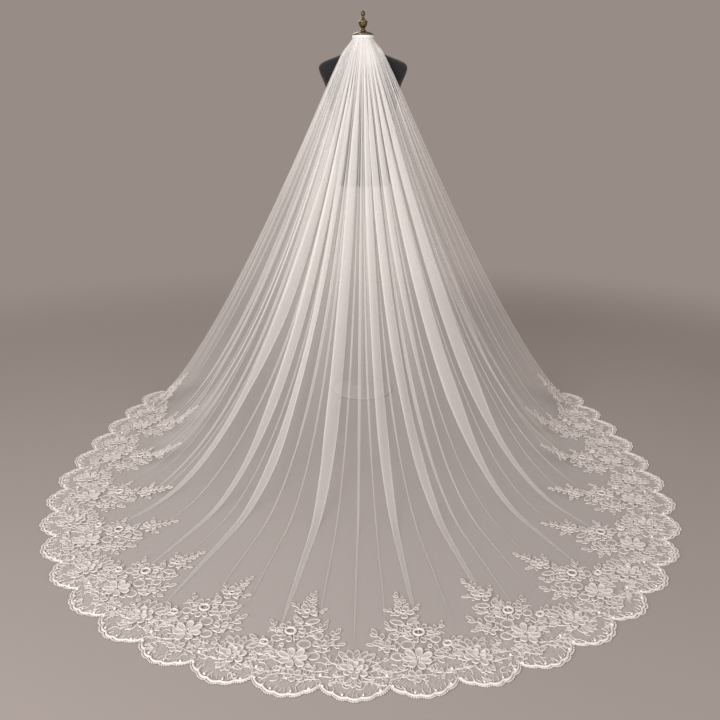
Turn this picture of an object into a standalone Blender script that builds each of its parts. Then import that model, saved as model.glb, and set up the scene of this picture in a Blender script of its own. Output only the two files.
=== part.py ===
"""Bridal veil with a lace hem, gathered at the back of the neck of a limbless dress form on a stand.

Metres, +Z up. The origin is on the floor, on the stand's axis. The form faces +Y and the train
runs towards -Y. The veil's cloth is described by two numbers: share, the part of the way along the
hem from its left end to its right end, and inset, the plan distance in from the hem's cusp line.
"""
import math

import bmesh
import bpy
import numpy as np
from mathutils import Vector
from mathutils.bvhtree import BVHTree

# Cloth
WALL = 0.0015
GAP = 0.0003
VEIL_TOP = 1.666
GATHER_RADIUS = 0.044
NECK_SPREAD = 0.014
NECK_SPREAD_REACH = 0.030
BIND_HEIGHT = 0.010
BIND_CLEAR = 0.0015
BIND_WALL = 0.0025
BIND_WRAP = math.radians(100.0)

# Hem in plan: two flaring sides and a half ellipse, with the cusps of the scallops on this line
HEM_HALF_WIDTH = 1.125
HEM_START_X = 1.015
HEM_START_Y = -0.045
ROUND_START_Y = -0.98
ROUND_DEPTH = 1.215
SCALLOPS = 31
COLUMNS_PER_SCALLOP = 3
LOBE = 0.045
LOBE_FULLNESS = 0.85

# Fall of the cloth from the neck to the floor: where it lands and how it flares
SIDE_LANDING = 0.945
SIDE_FLARE = 1.21
BACK_LANDING = 1.42
BACK_FLARE = 2.0
FLARE_START = 0.95
FLARE_END = 1.49
LANDING_START = 1.10
LANDING_END = 1.80
SHOULDER_BOW = 0.078
SHOULDER_BOW_REACH = 0.040
SHOULDER_RETURN_START = 0.15
SHOULDER_RETURN = 0.50
FOLD_FULL_REACH = 0.55
FOLD_FADE_HEIGHT = 0.30
FOLD_OUT = 0.8
FOLD_UP = 0.5
CLOTH_ROWS = (0.0, 0.035, 0.08, 0.14, 0.21, 0.29, 0.37, 0.46, 0.55, 0.65, 0.76, 0.88, 1.0)

# Each fold: share of the hem, half width as a share, and depth in metres
FOLDS = (
    {"share": 0.060, "half_width": 0.026, "depth": 0.014},
    {"share": 0.125, "half_width": 0.024, "depth": 0.022},
    {"share": 0.185, "half_width": 0.022, "depth": 0.016},
    {"share": 0.235, "half_width": 0.020, "depth": 0.018},
    {"share": 0.300, "half_width": 0.030, "depth": 0.034},
    {"share": 0.352, "half_width": 0.022, "depth": 0.028},
    {"share": 0.395, "half_width": 0.020, "depth": 0.030},
    {"share": 0.455, "half_width": 0.024, "depth": 0.030},
    {"share": 0.528, "half_width": 0.022, "depth": 0.028},
    {"share": 0.570, "half_width": 0.020, "depth": 0.026},
    {"share": 0.610, "half_width": 0.018, "depth": 0.018},
    {"share": 0.670, "half_width": 0.026, "depth": 0.034},
    {"share": 0.725, "half_width": 0.028, "depth": 0.030},
    {"share": 0.785, "half_width": 0.022, "depth": 0.018},
    {"share": 0.835, "half_width": 0.026, "depth": 0.026},
    {"share": 0.900, "half_width": 0.026, "depth": 0.016},
)

# Lace
BORDER = 0.16
BORDER_CLEAR = 0.002
BRAID = 0.011
BRAID_WALL = 0.0020
LACE_LIFT = 0.0008
STANDING_LIFT = 0.0090
STANDING_HEIGHT = 0.010
BIG_SPRAYS = 16
SPRAY_TIP = 0.385
END_SPRAY_TIP = 0.25
SPRAY_HALF_WIDTH = 0.120
SMALL_TIP = 0.215
SMALL_HALF_WIDTH = 0.040
EDGE_SHARE = 0.004
MARCH_STEP = 0.02
DOWN = Vector((0.0, 0.0, -1.0))

# Each row of a spray: part of its height, part of its half width
SPRAY_ROWS = (
    {"height": 0.00, "width": 1.00},
    {"height": 0.35, "width": 0.78},
    {"height": 0.70, "width": 0.36},
    {"height": 1.00, "width": 0.10},
)
SPRAY_COLUMNS = 4

# Dress form: each section's height, half width, half depth and centre towards the front
FORM_SECTIONS = (
    {"z": 1.022, "width": 0.124, "depth": 0.088, "front": 0.022},
    {"z": 1.027, "width": 0.130, "depth": 0.094, "front": 0.022},
    {"z": 1.075, "width": 0.128, "depth": 0.092, "front": 0.022},
    {"z": 1.130, "width": 0.126, "depth": 0.090, "front": 0.022},
    {"z": 1.200, "width": 0.132, "depth": 0.096, "front": 0.024},
    {"z": 1.270, "width": 0.142, "depth": 0.106, "front": 0.028},
    {"z": 1.340, "width": 0.152, "depth": 0.114, "front": 0.034},
    {"z": 1.390, "width": 0.156, "depth": 0.112, "front": 0.032},
    {"z": 1.430, "width": 0.162, "depth": 0.103, "front": 0.024},
    {"z": 1.471, "width": 0.174, "depth": 0.091, "front": 0.016},
    {"z": 1.504, "width": 0.189, "depth": 0.080, "front": 0.010},
    {"z": 1.529, "width": 0.200, "depth": 0.071, "front": 0.006},
    {"z": 1.547, "width": 0.201, "depth": 0.064, "front": 0.004},
    {"z": 1.561, "width": 0.192, "depth": 0.059, "front": 0.002},
    {"z": 1.575, "width": 0.165, "depth": 0.056, "front": 0.001},
    {"z": 1.588, "width": 0.126, "depth": 0.054, "front": 0.000},
    {"z": 1.602, "width": 0.088, "depth": 0.052, "front": 0.000},
    {"z": 1.617, "width": 0.060, "depth": 0.048, "front": 0.000},
    {"z": 1.637, "width": 0.045, "depth": 0.043, "front": 0.000},
    {"z": 1.655, "width": 0.0415, "depth": 0.0405, "front": 0.000},
    {"z": 1.680, "width": 0.0405, "depth": 0.0400, "front": 0.000},
)
FORM_SIDES = 44
FORM_ROUNDNESS = 2.25

# Brass cap, finial and stand: each profile point's radius and height, top to bottom
CAP_PROFILE = ((0.0000, 1.6945), (0.0160, 1.6940), (0.0280, 1.6915), (0.0380, 1.6880), (0.0440, 1.6846),
               (0.0462, 1.6826), (0.0462, 1.6812), (0.0450, 1.6803), (0.0000, 1.6803))
FINIAL_PROFILE = ((0.0000, 1.7795), (0.0035, 1.7786), (0.0054, 1.7762), (0.0080, 1.7735),
                  (0.0096, 1.7692), (0.0094, 1.7650), (0.0082, 1.7612), (0.0060, 1.7588),
                  (0.0050, 1.7568), (0.0050, 1.7545), (0.0062, 1.7500), (0.0085, 1.7455),
                  (0.0124, 1.7412), (0.0190, 1.7366), (0.0216, 1.7340), (0.0216, 1.7318),
                  (0.0197, 1.7300), (0.0193, 1.7270), (0.0182, 1.7215), (0.0150, 1.7150),
                  (0.0110, 1.7100), (0.0080, 1.7072), (0.0076, 1.7048), (0.0090, 1.7028),
                  (0.0122, 1.7000), (0.0136, 1.6978), (0.0136, 1.6958), (0.0126, 1.6948), (0.0000, 1.6948))
TURNED_STEPS = 32
POLE_RADIUS = 0.009
BASE_PROFILE = ((0.000, 0.0220), (0.020, 0.0220), (0.040, 0.0175), (0.080, 0.0140), (0.128, 0.0105),
                (0.1460, 0.0085), (0.1500, 0.0060), (0.1500, 0.0015), (0.1485, 0.0), (0.000, 0.0))

MATERIALS = {
    "tulle": {"color": (0.86, 0.83, 0.80), "roughness": 0.70, "metallic": 0.0},
    "lace": {"color": (0.85, 0.80, 0.75), "roughness": 0.65, "metallic": 0.0},
    "satin": {"color": (0.90, 0.88, 0.86), "roughness": 0.35, "metallic": 0.0},
    "form_cloth": {"color": (0.020, 0.018, 0.019), "roughness": 0.85, "metallic": 0.0},
    "brass": {"color": (0.36, 0.25, 0.11), "roughness": 0.38, "metallic": 1.0},
    "stand": {"color": (0.36, 0.31, 0.285), "roughness": 0.45, "metallic": 0.0},
}


def clear_scene():
    for scene_object in list(bpy.data.objects):
        bpy.data.objects.remove(scene_object, do_unlink=True)


def make_material(name):
    values = MATERIALS[name]
    material = bpy.data.materials.new(name)
    material.use_nodes = True
    shader = material.node_tree.nodes["Principled BSDF"]
    shader.inputs["Base Color"].default_value = (*values["color"], 1.0)
    shader.inputs["Roughness"].default_value = values["roughness"]
    shader.inputs["Metallic"].default_value = values["metallic"]
    return material


def add_object(name, mesh, collection, material):
    new_object = bpy.data.objects.new(name, mesh)
    collection.objects.link(new_object)
    mesh.materials.append(material)
    return new_object


def hem_table():
    """Plan points of the hem's cusp line with their share of its length."""
    side_y = np.linspace(HEM_START_Y, ROUND_START_Y, 200)
    run = (side_y - ROUND_START_Y) / (HEM_START_Y - ROUND_START_Y)
    side_x = -(HEM_HALF_WIDTH - (HEM_HALF_WIDTH - HEM_START_X) * run ** 2)
    turn = np.linspace(0.0, math.pi, 600)[1:]
    round_x = -HEM_HALF_WIDTH * np.cos(turn)
    round_y = ROUND_START_Y - ROUND_DEPTH * np.sin(turn)
    x = np.concatenate([side_x, round_x, -side_x[::-1][1:]])
    y = np.concatenate([side_y, round_y, side_y[::-1][1:]])
    length = np.concatenate([[0.0], np.cumsum(np.hypot(np.diff(x), np.diff(y)))])
    return x, y, length / length[-1], length[-1]


HEM_X, HEM_Y, HEM_SHARE, HEM_LENGTH = hem_table()
HEM_ANGLE = np.arctan2(HEM_X, -HEM_Y)
HEM_RADIUS = np.hypot(HEM_X, HEM_Y)


def hem_plan(share):
    return Vector((np.interp(share, HEM_SHARE, HEM_X), np.interp(share, HEM_SHARE, HEM_Y)))


def generator(share):
    """Unit direction from the neck and reach of the cloth line at this share."""
    hem = hem_plan(share)
    return hem.normalized(), hem.length - GATHER_RADIUS - NECK_SPREAD


def smooth(value):
    value = min(max(value, 0.0), 1.0)
    return value * value * (3.0 - 2.0 * value)


def fold_rise(share):
    """Height of the folds at this share, before it is scaled for the reach."""
    rise = 0.0
    for fold in FOLDS:
        offset = abs(share - fold["share"]) / fold["half_width"]
        if offset < 1.0:
            rise += fold["depth"] * math.cos(0.5 * math.pi * offset) ** 2
    return rise


def fall(reach, distance):
    """Height of the cloth line that reaches this far, at a plan distance from the gather."""
    settled = smooth((reach - LANDING_START) / (LANDING_END - LANDING_START))
    landing = SIDE_LANDING + (BACK_LANDING - SIDE_LANDING) * settled
    flared = min(max((reach - FLARE_START) / (FLARE_END - FLARE_START), 0.0), 1.0)
    flare = SIDE_FLARE + (BACK_FLARE - SIDE_FLARE) * flared
    return VEIL_TOP * max(1.0 - distance / landing, 0.0) ** flare


def plan_height(point):
    """Height of the smooth cloth over a plan point, where its lines run straight from the axis."""
    angle = math.atan2(point.x, -point.y)
    inner = GATHER_RADIUS + NECK_SPREAD
    return fall(np.interp(angle, HEM_ANGLE, HEM_RADIUS) - inner, point.length - inner)


def cloth_point(share, distance):
    """Underside of the tulle at a share of the hem and a plan distance from the gather."""
    direction, reach = generator(share)
    height = fall(reach, distance)
    returned = smooth((distance - SHOULDER_RETURN_START) / SHOULDER_RETURN)
    bow = SHOULDER_BOW * smooth(distance / SHOULDER_BOW_REACH) * (1.0 - returned)
    rise = fold_rise(share) * smooth(distance / FOLD_FULL_REACH) * smooth(height / FOLD_FADE_HEIGHT)
    spread = NECK_SPREAD * smooth(distance / NECK_SPREAD_REACH)
    plan = direction * (GATHER_RADIUS + spread + distance + FOLD_OUT * rise)
    return Vector((plan.x, plan.y - bow * direction.x ** 2, height + FOLD_UP * rise))


def hem_inward(share):
    """Unit direction in plan, square to the cusp line and into the train."""
    along = hem_plan(min(share + EDGE_SHARE, 1.0)) - hem_plan(max(share - EDGE_SHARE, 0.0))
    return Vector((-along.y, along.x)).normalized()


def lobe(share):
    """How far the scallop stands out past the cusp line."""
    return LOBE * math.sin(math.pi * ((share * SCALLOPS) % 1.0)) ** LOBE_FULLNESS


def cloth_grid():
    """Rows of underside points, from the gather to the scalloped edge."""
    columns = SCALLOPS * COLUMNS_PER_SCALLOP
    shares = [column / columns for column in range(columns + 1)]
    rows = []
    for part in CLOTH_ROWS:
        rows.append([cloth_point(share, part * (generator(share)[1] - BORDER)) for share in shares])
    rows.append([(hem_plan(share) - hem_inward(share) * lobe(share)).to_3d() for share in shares])
    return rows


def grid_mesh(name, rows):
    """Open surface through rows of points, facing out of the veil."""
    build = bmesh.new()
    made = [[build.verts.new(point) for point in row] for row in rows]
    for upper, lower in zip(made, made[1:]):
        for index in range(len(upper) - 1):
            build.faces.new((upper[index], lower[index], lower[index + 1], upper[index + 1]))
    mesh = bpy.data.meshes.new(name)
    build.normal_update()
    build.to_mesh(mesh)
    build.free()
    return mesh


def grid_normals(rows):
    """Vertex normals of the grid, in the same layout."""
    mesh = grid_mesh("normals", rows)
    width = len(rows[0])
    normals = [vertex.normal.copy() for vertex in mesh.vertices]
    bpy.data.meshes.remove(mesh)
    return [normals[index:index + width] for index in range(0, len(normals), width)]


def raised(rows, normals, height):
    return [[point + normal * height for point, normal in zip(row, normal_row)]
            for row, normal_row in zip(rows, normals)]


def add_sheet(name, rows, thickness, collection, material):
    """A wall of the given thickness standing out of the surface through the rows."""
    sheet = add_object(name, grid_mesh(name, rows), collection, material)
    wall = sheet.modifiers.new("Wall", "SOLIDIFY")
    wall.thickness = thickness
    wall.offset = 1.0
    wall.use_rim = True
    return sheet


def braid_rows(border_rows):
    """Inner and outer edge of the braid, on top of the lace border."""
    inner = []
    outer = []
    for top, edge, top_normal, edge_normal in zip(*border_rows, *grid_normals(border_rows)):
        mix = 1.0 - BRAID / (edge - top).length
        normal = top_normal.lerp(edge_normal, mix).normalized()
        height = WALL + GAP + standing_lift(top.z)
        inner.append(top.lerp(edge, mix) + normal * height)
        outer.append(edge + normal * height)
    return [inner, outer]


def standing_lift(height):
    """Extra clearance of what lies on the cloth where the cloth stands up from the floor."""
    return STANDING_LIFT * smooth(height / STANDING_HEIGHT)


def inward_point(share, inset):
    """Plan point reached from the cusp line by going straight in, for this length of cloth."""
    point = hem_plan(share)
    inward = hem_inward(share)
    steps = math.ceil(inset / MARCH_STEP)
    stride = inset / steps
    for _ in range(steps):
        climb = (plan_height(point + inward * stride) - plan_height(point)) / stride
        point = point + inward * stride / math.hypot(1.0, climb)
    return point


def spray_rows(tulle, centre, half_width, tip):
    """Outline rows of one spray, laid on the tulle from the border's inner edge to its tip."""
    rows = []
    for line in SPRAY_ROWS:
        inset = BORDER + BORDER_CLEAR + (tip - BORDER) * line["height"]
        row = []
        for step in range(SPRAY_COLUMNS + 1):
            side = 2.0 * step / SPRAY_COLUMNS - 1.0
            share = centre + side * half_width * line["width"] / HEM_LENGTH
            share = min(max(share, EDGE_SHARE), 1.0 - EDGE_SHARE)
            plan = inward_point(share, inset)
            point, normal, _, _ = tulle.ray_cast(plan.to_3d() + Vector((0.0, 0.0, VEIL_TOP)), DOWN)
            row.append(point + normal * (LACE_LIFT + standing_lift(point.z)))
        rows.append(row)
    return rows[::-1]


def add_veil(collection, materials):
    grid = cloth_grid()
    normals = grid_normals(grid)
    panel = add_sheet("veil_tulle", grid, WALL, collection, materials["tulle"])
    border = raised(grid[-2:], normals[-2:], WALL + GAP)
    add_sheet("lace_border", border, WALL, collection, materials["lace"])
    braid = braid_rows(border)
    add_sheet("hem_braid", braid, BRAID_WALL, collection, materials["lace"])
    bpy.context.view_layer.update()
    tulle = BVHTree.FromObject(panel, bpy.context.evaluated_depsgraph_get())
    for number in range(BIG_SPRAYS):
        tip = END_SPRAY_TIP if number in (0, BIG_SPRAYS - 1) else SPRAY_TIP
        rows = spray_rows(tulle, (2.0 * number + 0.5) / SCALLOPS, SPRAY_HALF_WIDTH, tip)
        add_sheet(f"spray_{number + 1:02d}", rows, WALL, collection, materials["lace"])
    for number in range(BIG_SPRAYS - 1):
        rows = spray_rows(tulle, (2.0 * number + 1.5) / SCALLOPS, SMALL_HALF_WIDTH, SMALL_TIP)
        add_sheet(f"blossom_{number + 1:02d}", rows, WALL, collection, materials["lace"])


def add_binding(collection, material):
    """Satin binding that holds the gathers, wrapped round the back of the neck."""
    steps = 36
    rows = []
    for height in (VEIL_TOP + BIND_CLEAR + BIND_HEIGHT, VEIL_TOP + BIND_CLEAR):
        row = []
        for step in range(steps + 1):
            angle = BIND_WRAP * (2.0 * step / steps - 1.0)
            row.append(Vector((GATHER_RADIUS * math.sin(angle), -GATHER_RADIUS * math.cos(angle), height)))
        rows.append(row)
    add_sheet("top_binding", rows, BIND_WALL, collection, material)


def add_form(collection, material):
    """Torso lofted through rounded sections, with a flat neck and a flat underside."""
    build = bmesh.new()
    rings = []
    for section in FORM_SECTIONS:
        ring = []
        for side in range(FORM_SIDES):
            turn = 2.0 * math.pi * side / FORM_SIDES
            across = math.copysign(abs(math.cos(turn)) ** (2.0 / FORM_ROUNDNESS), math.cos(turn))
            fore = math.copysign(abs(math.sin(turn)) ** (2.0 / FORM_ROUNDNESS), math.sin(turn))
            place = (section["width"] * across, section["front"] + section["depth"] * fore, section["z"])
            ring.append(build.verts.new(place))
        rings.append(ring)
    for lower, upper in zip(rings, rings[1:]):
        for side in range(FORM_SIDES):
            after = (side + 1) % FORM_SIDES
            build.faces.new((lower[side], lower[after], upper[after], upper[side]))
    build.faces.new(rings[0][::-1])
    build.faces.new(rings[-1])
    mesh = bpy.data.meshes.new("form_torso")
    build.to_mesh(mesh)
    build.free()
    mesh.shade_smooth()
    mesh.set_sharp_from_angle(angle=math.radians(50.0))
    add_object("form_torso", mesh, collection, material)


def add_turned(name, profile, collection, material):
    """Solid of revolution about the stand's axis."""
    mesh = bpy.data.meshes.new(name)
    points = [(radius, 0.0, height) for radius, height in profile]
    edges = [(index, index + 1) for index in range(len(points) - 1)]
    mesh.from_pydata(points, edges, [])
    turned = add_object(name, mesh, collection, material)
    screw = turned.modifiers.new("Turn", "SCREW")
    screw.axis = "Z"
    screw.angle = 2.0 * math.pi
    screw.steps = TURNED_STEPS
    screw.render_steps = TURNED_STEPS
    screw.use_merge_vertices = True
    screw.merge_threshold = 0.0001
    screw.use_smooth_shade = True
    return turned


def add_pole(collection, material):
    bottom = BASE_PROFILE[0][1] + GAP
    top = FORM_SECTIONS[0]["z"] - GAP
    build = bmesh.new()
    bmesh.ops.create_cone(build, cap_ends=True, segments=24, radius1=POLE_RADIUS,
                          radius2=POLE_RADIUS, depth=top - bottom)
    mesh = bpy.data.meshes.new("stand_pole")
    build.to_mesh(mesh)
    build.free()
    pole = add_object("stand_pole", mesh, collection, material)
    pole.location = (0.0, 0.0, (bottom + top) / 2.0)


def main():
    clear_scene()
    collection = bpy.data.collections.new("bridal_veil_on_form")
    bpy.context.scene.collection.children.link(collection)
    materials = {name: make_material(name) for name in MATERIALS}
    add_veil(collection, materials)
    add_binding(collection, materials["satin"])
    add_form(collection, materials["form_cloth"])
    add_turned("neck_cap", CAP_PROFILE, collection, materials["brass"])
    add_turned("finial", FINIAL_PROFILE, collection, materials["brass"])
    add_turned("stand_base", BASE_PROFILE, collection, materials["stand"])
    add_pole(collection, materials["stand"])


main()
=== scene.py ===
"""Bridal veil gathered at the nape of a limbless dress form, with a round lace-edged train.

Laid out as an add-on and run as a script. Metres, +Z up; the form faces +Y and the train runs
towards -Y. A place on the veil is given by its share, the part of the way along the hem from the
left end to the right end, and its inset, the length of cloth in from the hem's cusp line.
"""
import math
import random

import bpy
import numpy as np
from bpy.props import FloatProperty, FloatVectorProperty, IntProperty, PointerProperty
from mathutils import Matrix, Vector


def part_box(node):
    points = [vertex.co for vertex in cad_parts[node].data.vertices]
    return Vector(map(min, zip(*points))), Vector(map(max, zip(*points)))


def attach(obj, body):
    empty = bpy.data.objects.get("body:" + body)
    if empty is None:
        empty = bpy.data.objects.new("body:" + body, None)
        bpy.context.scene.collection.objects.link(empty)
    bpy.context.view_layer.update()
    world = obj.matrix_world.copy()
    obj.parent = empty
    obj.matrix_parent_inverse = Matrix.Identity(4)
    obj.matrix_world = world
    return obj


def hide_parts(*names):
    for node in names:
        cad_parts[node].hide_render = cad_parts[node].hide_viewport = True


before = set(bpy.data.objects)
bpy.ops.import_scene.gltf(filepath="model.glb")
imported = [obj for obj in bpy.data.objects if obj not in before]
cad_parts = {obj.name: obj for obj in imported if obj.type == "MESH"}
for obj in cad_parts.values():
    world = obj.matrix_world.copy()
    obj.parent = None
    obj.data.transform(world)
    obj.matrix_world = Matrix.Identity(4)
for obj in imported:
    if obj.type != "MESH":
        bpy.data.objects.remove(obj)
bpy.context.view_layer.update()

bl_info = {
    "name": "Bridal veil on a dress form",
    "version": (1, 0, 0),
    "blender": (4, 5, 0),
    "location": "3D View > Sidebar > Veil",
    "description": "Models a gathered tulle veil with a scalloped lace hem on a dress form",
    "category": "Object",
}


def named_columns(names, *rows):
    """Columns of a table by name."""
    return {name: np.array(column) for name, column in zip(names.split(), zip(*rows))}


# ---------------------------------------------------------------- sizes of the veil's cloth

# The neck, the hem's plan, and how each line of cloth falls: it lands further out and dips more
# sharply towards the back than at the sides
BIND_CLEAR = 0.0015
VEIL_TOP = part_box("top_binding")[0][2] - BIND_CLEAR
GATHER_RADIUS = 0.044
NECK_SPREAD = 0.014
NECK_SPREAD_REACH = 0.030
HEM_HALF_WIDTH = 1.125
HEM_START_X = 1.015
HEM_START_Y = -0.045
ROUND_START_Y = -0.98
ROUND_DEPTH = 1.215
SIDE_LANDING = 0.945
SIDE_FLARE = 1.21
BACK_LANDING = 1.42
BACK_FLARE = 2.0
FLARE_START = 0.95
FLARE_END = 1.49
LANDING_START = 1.10
LANDING_END = 1.80
# Over the shoulders the cloth bows back to clear the form
SHOULDER_BOW = 0.078
SHOULDER_BOW_REACH = 0.040
SHOULDER_RETURN_START = 0.15
SHOULDER_RETURN = 0.50
# The scalloped edge
SCALLOPS = 31
LOBE = 0.045
LOBE_FULLNESS = 0.85
EDGE_INSET = 0.013
CLOTH_LIFT = 0.0006

# Each broad fold: share of the hem, half width as a share, and depth in metres
FOLDS = named_columns(
    "share half_width depth",
    (0.060, 0.026, 0.014),
    (0.125, 0.024, 0.022),
    (0.185, 0.022, 0.016),
    (0.235, 0.020, 0.018),
    (0.300, 0.030, 0.034),
    (0.352, 0.022, 0.028),
    (0.395, 0.020, 0.030),
    (0.455, 0.024, 0.030),
    (0.528, 0.022, 0.028),
    (0.570, 0.020, 0.026),
    (0.610, 0.018, 0.018),
    (0.670, 0.026, 0.034),
    (0.725, 0.028, 0.030),
    (0.785, 0.022, 0.018),
    (0.835, 0.026, 0.026),
    (0.900, 0.026, 0.016),
)

# Each pleat that lies over itself: its share high up and low down, the width of its doubled band
# high up and midway as shares, how far down it keeps the midway width and how far down it runs (both
# as parts of the way to the hem), how far it stands out in metres, and how full its cloth is
PLEATS = named_columns(
    "high low wide mid holds ends out full",
    (0.010, 0.010, 0.008, 0.0021, 0.60, 0.97, 0.006, 0.70),
    (0.024, 0.022, 0.006, 0.0021, 0.50, 0.86, 0.006, 0.70),
    (0.044, 0.040, 0.010, 0.0028, 0.55, 0.84, 0.008, 0.85),
    (0.070, 0.064, 0.005, 0.0017, 0.50, 0.82, 0.005, 0.70),
    (0.092, 0.088, 0.020, 0.0079, 0.51, 0.84, 0.010, 1.00),
    (0.112, 0.110, 0.004, 0.0014, 0.50, 0.86, 0.005, 0.70),
    (0.126, 0.131, 0.011, 0.0035, 0.50, 0.86, 0.008, 0.85),
    (0.146, 0.150, 0.005, 0.0017, 0.45, 0.84, 0.005, 0.70),
    (0.166, 0.171, 0.004, 0.0014, 0.45, 0.86, 0.005, 0.70),
    (0.183, 0.188, 0.010, 0.0028, 0.45, 0.88, 0.008, 0.85),
    (0.201, 0.205, 0.004, 0.0014, 0.45, 0.84, 0.005, 0.70),
    (0.217, 0.222, 0.009, 0.0028, 0.45, 0.90, 0.008, 0.85),
    (0.235, 0.243, 0.005, 0.0014, 0.45, 0.86, 0.005, 0.70),
    (0.254, 0.263, 0.014, 0.0042, 0.44, 0.91, 0.010, 1.00),
    (0.276, 0.272, 0.012, 0.0021, 0.45, 0.90, 0.006, 0.85),
    (0.312, 0.286, 0.038, 0.0108, 0.54, 0.97, 0.016, 1.00),
    (0.337, 0.318, 0.008, 0.0021, 0.50, 0.94, 0.006, 0.70),
    (0.357, 0.348, 0.028, 0.0072, 0.56, 0.97, 0.014, 1.00),
    (0.375, 0.366, 0.005, 0.0014, 0.50, 0.94, 0.005, 0.70),
    (0.392, 0.382, 0.028, 0.0079, 0.62, 0.98, 0.014, 1.00),
    (0.414, 0.408, 0.010, 0.0017, 0.50, 0.94, 0.008, 0.85),
    (0.430, 0.431, 0.006, 0.0014, 0.50, 0.92, 0.005, 0.70),
    (0.455, 0.457, 0.030, 0.0072, 0.64, 0.98, 0.014, 1.00),
    (0.480, 0.478, 0.005, 0.0013, 0.50, 0.96, 0.005, 0.70),
    (0.496, 0.499, 0.007, 0.0028, 0.50, 0.97, 0.006, 0.70),
    (0.509, 0.517, 0.004, 0.0013, 0.50, 0.94, 0.005, 0.70),
    (0.530, 0.535, 0.026, 0.0068, 0.62, 0.98, 0.014, 1.00),
    (0.549, 0.556, 0.006, 0.0014, 0.50, 0.94, 0.005, 0.70),
    (0.568, 0.581, 0.028, 0.0076, 0.62, 0.98, 0.014, 1.00),
    (0.592, 0.597, 0.010, 0.0028, 0.56, 0.96, 0.008, 0.85),
    (0.612, 0.615, 0.014, 0.0028, 0.46, 0.93, 0.008, 1.00),
    (0.634, 0.634, 0.006, 0.0014, 0.50, 0.90, 0.005, 0.70),
    (0.664, 0.662, 0.034, 0.0086, 0.58, 0.97, 0.016, 1.00),
    (0.690, 0.684, 0.008, 0.0021, 0.50, 0.92, 0.006, 0.70),
    (0.722, 0.708, 0.042, 0.0101, 0.54, 0.95, 0.016, 1.00),
    (0.751, 0.733, 0.007, 0.0021, 0.50, 0.90, 0.005, 0.70),
    (0.775, 0.758, 0.016, 0.0042, 0.44, 0.87, 0.010, 1.00),
    (0.796, 0.785, 0.006, 0.0017, 0.48, 0.86, 0.005, 0.70),
    (0.828, 0.811, 0.038, 0.0094, 0.46, 0.86, 0.014, 1.00),
    (0.857, 0.842, 0.006, 0.0017, 0.48, 0.84, 0.005, 0.70),
    (0.877, 0.870, 0.010, 0.0031, 0.45, 0.86, 0.008, 0.85),
    (0.897, 0.893, 0.004, 0.0014, 0.45, 0.84, 0.005, 0.70),
    (0.915, 0.912, 0.015, 0.0058, 0.46, 0.84, 0.008, 1.00),
    (0.940, 0.936, 0.005, 0.0017, 0.45, 0.82, 0.005, 0.70),
    (0.961, 0.963, 0.009, 0.0028, 0.50, 0.86, 0.006, 0.85),
    (0.980, 0.982, 0.005, 0.0017, 0.50, 0.88, 0.005, 0.70),
    (0.991, 0.991, 0.007, 0.0021, 0.60, 0.97, 0.006, 0.70),
)
# How the pleats narrow and drift, and how much cloth lies behind them, at their turned edges and in
# the gaps; the numbered gaps stay open
PLEAT_FOOT = 0.0007
BAND_SHARE = 0.86
PLEAT_ROOM = 0.47
PLEAT_END = 0.16
PLEAT_DRIFT_START = 0.12
PLEAT_DRIFT = 0.50
PLEAT_TAPER_START = 0.20
PLEAT_EXTRA = 0.35
PLEAT_FADE = 0.42
PLEAT_EDGE = 1.9
GAP_EXTRA = 1.3
OPEN_GAPS = (12, 22, 24, 28, 32)
OPEN_GAP_SHARE = 0.1
LEAST_LAYERS = 0.3

# Section of a pleat: how far through its cloth, where that lies across it, how far it stands out
PLEAT_SECTION = named_columns(
    "cloth across out",
    (-1.00, -1.00, 0.00),
    (-0.75, -0.40, 0.02),
    (-0.50, 0.30, 0.06),
    (-0.38, 0.70, 0.11),
    (-0.32, 0.87, 0.18),
    (-0.28, 0.90, 0.27),
    (-0.24, 0.85, 0.36),
    (-0.16, 0.58, 0.43),
    (0.00, 0.00, 0.50),
    (0.16, -0.58, 0.57),
    (0.24, -0.85, 0.64),
    (0.28, -0.90, 0.74),
    (0.32, -0.87, 0.84),
    (0.38, -0.70, 0.92),
    (0.50, -0.30, 0.98),
    (0.70, 0.28, 1.00),
    (0.86, 0.72, 0.80),
    (1.00, 1.00, 0.00),
)

# The net's grid, the cloth gathered at its top, its ripples, and where folds and edge set in
GAP_COLUMNS = 8
CLOTH_ROWS = 78
CLOTH_AT_TOP = 4.9
SIDE_CLOTH = 0.34
LEAST_CLOTH = 0.95
CLOTH_LENGTH = 2.6
GATHER_RIPPLES = 66
FINE_RIPPLE = 0.0014
BROAD_RIPPLE = 0.0030
FOLD_REACH = 0.55
FOLD_HEIGHT = 0.30
EDGE_START = 0.93
FLOOR_EASE = 0.05

# ---------------------------------------------------------------- sizes of the lace and its cords

LACE_REACH = 0.46
LACE_OUTWARD = 0.075
LACE_STEP = 0.01
LACE_COLUMNS = SCALLOPS * 16
LACE_LIFT = 0.0008
END_SPRAY_SIZE = 0.62
RAY_HEIGHT = 2.0
DOWN = Vector((0.0, 0.0, -1.0))
RIPPLES_PER_SCALLOP = 5
PICOTS_PER_SCALLOP = 32
RIPPLE_DEPTH = 0.0060
TICKS_PER_SCALLOP = 12
MIDDLE_SCALLOPS = 8
VINE_GROUP = 8
BORDER_DEPTH = 0.165
BORDER_FADE_START = 0.085
BORDER_FADE = 0.06
BORDER_FADE_WAVE = 0.02
BORDER_ROWS = 18
BORDER_COLUMNS = 24
BRAID_OUT = -0.004
PICOT_CORD_OUT = 0.0066
PICOT_OUT = 0.0106
PICOT_LIFT = 0.0016
PICOT_RADIUS = 0.0020
SEED_RADIUS = 0.0019
LEAF_LIFT = 0.0005
VINE_WIDTH = 0.0032
VINE_STEP = 0.007
VINE_TAPER = 0.45
FULL_CORD_LENGTH = 0.020
EDGE_ROOM = 0.004

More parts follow.
